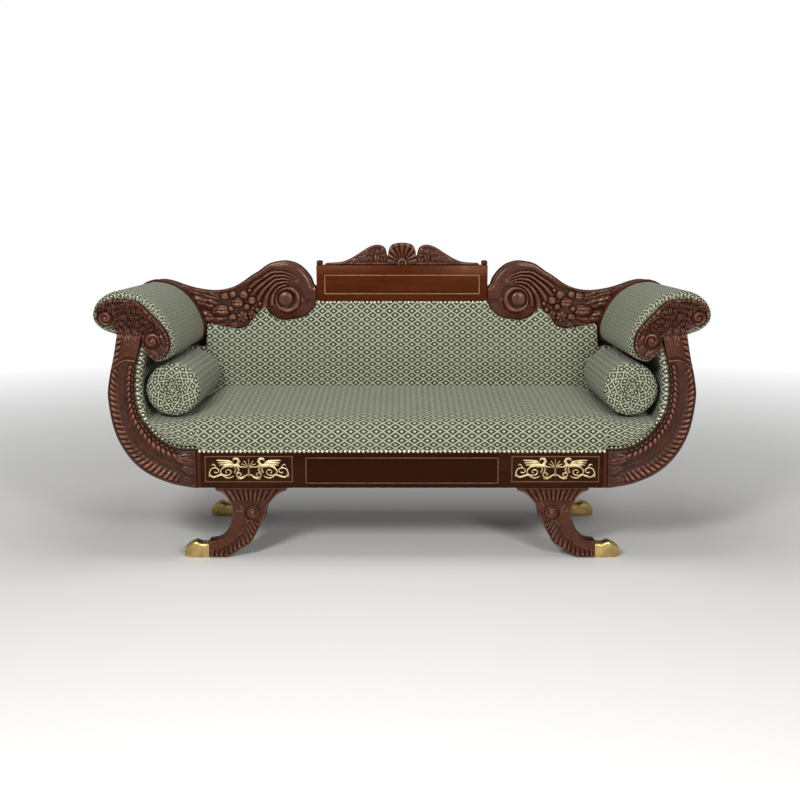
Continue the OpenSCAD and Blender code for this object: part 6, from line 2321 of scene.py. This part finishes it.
@dataclass
class Covers:
    """Thin cloth of the sofa: webbing, spring cover and dust cloth below, and the cover behind."""

    bays: tuple[int, int] = (6, 4)
    band_w: float = 0.050
    clear: float = 0.002
    corner: float = 0.070

    @staticmethod
    def thin(name: str, xs: Array, ys: Array, lift: Form, thick: float,
             keep: Form | None = None) -> Piece:
        """A thin level cloth with its own thickness.

        Args:
            name: The piece's name.
            xs: Places of its rows of vertices across.
            ys: Places of its rows of vertices in depth.
            lift: Height of its upper face.
            thick: Its thickness.
            keep: Which places it covers, or None for all.

        Returns:
            The closed cloth.
        """
        n, m = len(xs) - 1, len(ys) - 1

        def place(a: Array, b: Array) -> Array:
            x, y = xs[cell(a, n)], ys[cell(b, m)]
            return spots_of(x, y, lift(x, y))

        obj, _, _ = grid_piece(name, n, m, place)
        if keep:
            middle = np.empty(len(obj.data.polygons) * 3)
            obj.data.polygons.foreach_get("center", middle)
            gone = ~keep(*middle.reshape(-1, 3)[:, :2].T)
            in_edit(obj, "FACE", gone, lambda: bpy.ops.mesh.delete(type="FACE"))
        body = obj.modifiers.new("thickness", "SOLIDIFY")
        body.thickness, body.offset = thick, -1.0
        apply_modifiers(obj)
        outward(obj)
        smooth(obj, 60.0)
        return obj

    def off_legs(self, x: Array, y: Array) -> Array:
        """Which places lie clear of the legs."""
        front, back = S.rail_y + S.rail_set, REAR_LEG_Y
        beside = (np.abs(x) > S.leg_x - self.clear) & (np.abs(x) < S.leg_x + S.leg_w + self.clear)
        return ~(beside & ((y < front + S.leg_t + self.clear) | (y > back - self.clear)))

    def cut(self, half: float, step: float) -> Array:
        """Rows across a cloth, with rows on the legs' edges."""
        edges = [s * e for s in (-1, 1) for e in (S.leg_x - self.clear, S.leg_x + S.leg_w + self.clear)]
        plain = np.linspace(-half, half, round(2 * half / step) + 1)
        gap = np.min(np.abs(plain[:, None] - edges), axis=1)
        return np.unique(np.concatenate([plain[gap > 0.3 * step], edges]))

    def dust_cloth(self) -> None:
        """Black cloth tacked under the rails."""
        low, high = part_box("dust_cover")
        ys = np.unique(np.concatenate([np.linspace(low[1], high[1], 90), BETWEEN_LEGS]))

        def lift(x: Array, y: Array) -> Array:
            rim = np.minimum(high[0] - np.abs(x), np.minimum(y - low[1], high[1] - y))
            pull = np.cos(2 * np.pi * (x + y) / 0.045) * np.exp(-rim / 0.02)
            return high[2] - HAIR + 0.00025 * creases(x, y, 0.2, 31) * ease(rim / 0.05) + 0.0002 * pull

        obj = self.thin("dust_cloth", self.cut(high[0], 0.007), ys, lift, 0.0009, self.off_legs)
        dressed(obj, Look.CAMBRIC, Slot.DUST, BODY, "dust_cover")

    def spring_cloth(self) -> None:
        """Hessian stretched over the springs."""
        low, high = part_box("spring_cover")
        xs, ys = np.linspace(low[0], high[0], 170), np.linspace(low[1], high[1], 70)
        obj = self.thin("spring_hessian", xs, ys,
                        lambda x, y: high[2] - 0.0004 + 0.0003 * creases(x, y, 0.11, 33), 0.0009)
        for sx in (-1, 1):
            for sy, end in ((-1, low[1]), (1, high[1])):
                in_edit(obj, "VERT", None, lambda: bpy.ops.mesh.bisect(
                    plane_co=(sx * (high[0] - self.corner), end, 0), plane_no=(sx, sy, 0), clear_outer=True,
                    use_fill=True))
        outward(obj)
        dressed(obj, Look.HESSIAN, Slot.JUTE, BODY, "spring_cover")

    def webbing(self) -> None:
        """Jute bands under the springs, woven over and under each other."""
        low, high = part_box("webbing")
        end, y0 = S.rail_w / 2 - 0.040, S.rail_y + S.rail_t
        bay_x, bay_y = 2 * end / self.bays[0], (REAR_LEG_Y - y0) / self.bays[1]
        mid, wave, thick = (low[2] + high[2]) / 2, 0.0005, 0.0008
        parts, area = [], 0.0
        for i in range(self.bays[0]):
            at = -end + bay_x * (i + 0.5)
            ends = BETWEEN_LEGS if abs(at) > S.leg_x - self.band_w / 2 else (low[1], high[1])
            ys = np.linspace(*ends, 60)
            xs = at + np.linspace(-0.5, 0.5, 9) * self.band_w
            parts.append(self.thin(f"band_x{i}", xs, ys, lambda x, y: mid + thick / 2 + wave * np.cos(
                np.pi * ((y - y0) / bay_y - 0.5 + i)), thick))
            area += self.band_w * float(ys[-1] - ys[0])
        for j in range(self.bays[1]):
            ys = y0 + bay_y * (j + 0.5) + np.linspace(-0.5, 0.5, 9) * self.band_w
            xs = np.linspace(low[0], high[0], 130)
            parts.append(self.thin(f"band_y{j}", xs, ys, lambda x, y: mid + thick / 2 - wave * np.cos(
                np.pi * ((x + end) / bay_x - 0.5 + j)), thick))
            area += self.band_w * (high[0] - low[0])
        obj = joined("webbing_bands", parts)
        dressed(obj, Look.JUTE, Slot.JUTE, BODY, "webbing")

    def behind(self) -> None:
        """Lattice cloth over the back of the sofa."""
        low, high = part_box("outside_back")
        side = curve(OUTER, 80)
        xs = np.linspace(0.80, 0.004, 160)
        upper = spots_of(xs, Crest().under(xs) - 0.0012)
        right = np.concatenate([side, spline(INNER, np.array([1.0])) - (0, 0.0012), upper])
        outline = np.concatenate([right, (right * (-1, 1))[::-1]])

        def relief(x: Array, z: Array, depth: Array) -> Array:
            tacks = 0.0004 * np.cos(2 * np.pi * (x + z) / 0.050) * np.exp(-depth / 0.02)
            return 0.0002 * creases(x, z, 0.22, 35) * ease(depth / 0.05) + tacks

        front, back = 0.0004 - high[1], -low[1] - 0.0001
        obj = Board(outline, front, back, 0.0075, relief, 0.0003).build("back_panel_cloth")
        write_points(obj, read_points(obj) * (1, -1, 1))
        outward(obj)
        spots = read_points(obj)
        write_map(obj, spots[:, [0, 2]])
        dressed(obj, Look.CLOTH, Slot.FABRIC, BODY, "outside_back")

    def build(self) -> None:
        """Makes every thin cover."""
        self.dust_cloth()
        self.spring_cloth()
        self.webbing()
        self.behind()


@dataclass
class HiddenFrame:
    """Materials of the construction pieces that keep their CAD shape."""

    def build(self) -> None:
        """Dresses the carried-over nodes."""
        sawn = ("back_rail", "end_rail_left", "end_rail_right", "corner_blocks", "seat_braces", "arm_post_left",
                "arm_post_right", "arm_stretchers_left", "arm_stretchers_right", "back_muntins", "tack_rail")
        plain = {"rear_post_left": Look.BACK_WOOD, "rear_post_right": Look.BACK_WOOD,
                 "rail_inlay": Look.RAIL_STRING, "crest_inlay": Look.STRING, "seat_springs": Look.STEEL}
        for node, finish in (dict.fromkeys(sawn, Look.FRAME) | plain).items():
            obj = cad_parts[node]
            obj.data.materials.clear()
            obj.data.materials.append(finish.material())
            LOG.info("%s: %s", node, finish.name)


@dataclass
class Studio:
    """Floor, backdrop, lamps and camera, the camera as fitted to the photograph."""

    lens: float = 52.3
    sensor: float = 36.0
    shift: float = -0.0025
    stand: Triple = (0.0, -4.10, 1.121)
    tilt: float = 81.24
    surround: float = 0.235
    mirrored: float = 0.23
    lamps: tuple[tuple, ...] = (("key", (-1.3, -3.7, 2.5), (0, 0, 0.5), 0.8, 96.0),
                                ("fill", (1.5, -3.9, 2.0), (0, 0, 0.5), 0.8, 66.0),
                                ("top", (0.0, -0.2, 3.2), (0, 0, 0.4), 1.6, 27.0))

    def floor(self) -> None:
        """A plain pale floor that meets a white surround."""
        bpy.ops.object.select_all(action="DESELECT")
        bpy.ops.mesh.primitive_plane_add(size=40.0, location=(0, 0, 0))
        obj = bpy.context.object
        obj.name = "studio_floor"
        made = bpy.data.materials.new("studio_floor")
        made.use_nodes = True
        g = Graph(made.node_tree)
        bsdf = next(n for n in g.tree.nodes if n.type == "BSDF_PRINCIPLED")
        g.feed(bsdf, Base_Color=(0.84, 0.83, 0.81), Roughness=0.6)
        away = g.add("VectorMath", operation="LENGTH")
        g.put(away.inputs[0], g.add("TexCoord").outputs["Object"])
        glow, blend = g.add("Emission"), g.add("MixShader")
        seen = g.add("LightPath")
        far = g.math("MULTIPLY", g.remap(away.outputs["Value"], 1.3, 5.5),
                     g.math("MAXIMUM", seen.outputs["Is Camera Ray"], seen.outputs["Is Glossy Ray"]))
        for socket, value in zip(blend.inputs, (far, bsdf.outputs[0], glow.outputs[0])):
            g.put(socket, value)
        end = next(n for n in g.tree.nodes if n.type == "OUTPUT_MATERIAL")
        g.put(end.inputs["Surface"], blend.outputs[0])
        obj.data.materials.append(made)

    def world(self) -> None:
        """Plain soft surround, white where the camera sees it."""
        world = bpy.data.worlds.new("surround")
        bpy.context.scene.world = world
        world.use_nodes = True
        g = Graph(world.node_tree)
        back = next(n for n in g.tree.nodes if n.type == "BACKGROUND")
        path = g.add("LightPath")
        shown = g.math("MULTIPLY", path.outputs["Is Glossy Ray"], self.mirrored)
        seen = g.math("MAXIMUM", path.outputs["Is Camera Ray"], shown)
        g.put(back.inputs["Strength"], g.math("MAXIMUM", seen, self.surround))
        back.inputs["Color"].default_value = (1, 1, 1, 1)

    def lamp(self, name: str, place: Triple, aim: Triple, size: float,
             power: float) -> None:
        """Adds one soft lamp.

        Args:
            name: Its name.
            place: Where it stands.
            aim: What it points at.
            size: Width of its face.
            power: Its power in watts.
        """
        data = bpy.data.lights.new(name, "AREA")
        data.shape, data.size, data.energy = "SQUARE", size, power
        obj = bpy.data.objects.new(name, data)
        bpy.context.scene.collection.objects.link(obj)
        obj.location = place
        way = np.array(aim) - np.array(place)
        level = math.hypot(way[0], way[1])
        heading = math.atan2(way[0], -way[1]) + math.pi if level else 0
        obj.rotation_euler = (math.atan2(level, -way[2]), 0, heading)

    def camera(self) -> None:
        """Camera at the photograph's angle."""
        data = bpy.data.cameras.new("view")
        data.lens, data.sensor_width, data.shift_x = self.lens, self.sensor, self.shift
        obj = bpy.data.objects.new("view", data)
        bpy.context.scene.collection.objects.link(obj)
        obj.location = self.stand
        obj.rotation_euler = (math.radians(self.tilt), 0, 0)
        bpy.context.scene.camera = obj

    def build(self) -> None:
        """Sets the scene."""
        bpy.context.scene.view_settings.view_transform = "Standard"
        self.camera()
        self.floor()
        self.world()
        for lamp in self.lamps:
            self.lamp(*lamp)


def main() -> None:
    """Builds the sofa piece by piece."""
    logging.basicConfig(level=logging.INFO, format="%(message)s")
    Studio().build()
    for part in (ScrollArms(), Crest(), Legs(), RailMounts(), Trim(), Bolsters(), Covers(), HiddenFrame()):
        part.build()
    cloth = Upholstery()
    cloth.seat()
    cloth.back()
    cloth.arms()


if __name__ == "__main__":
    main()
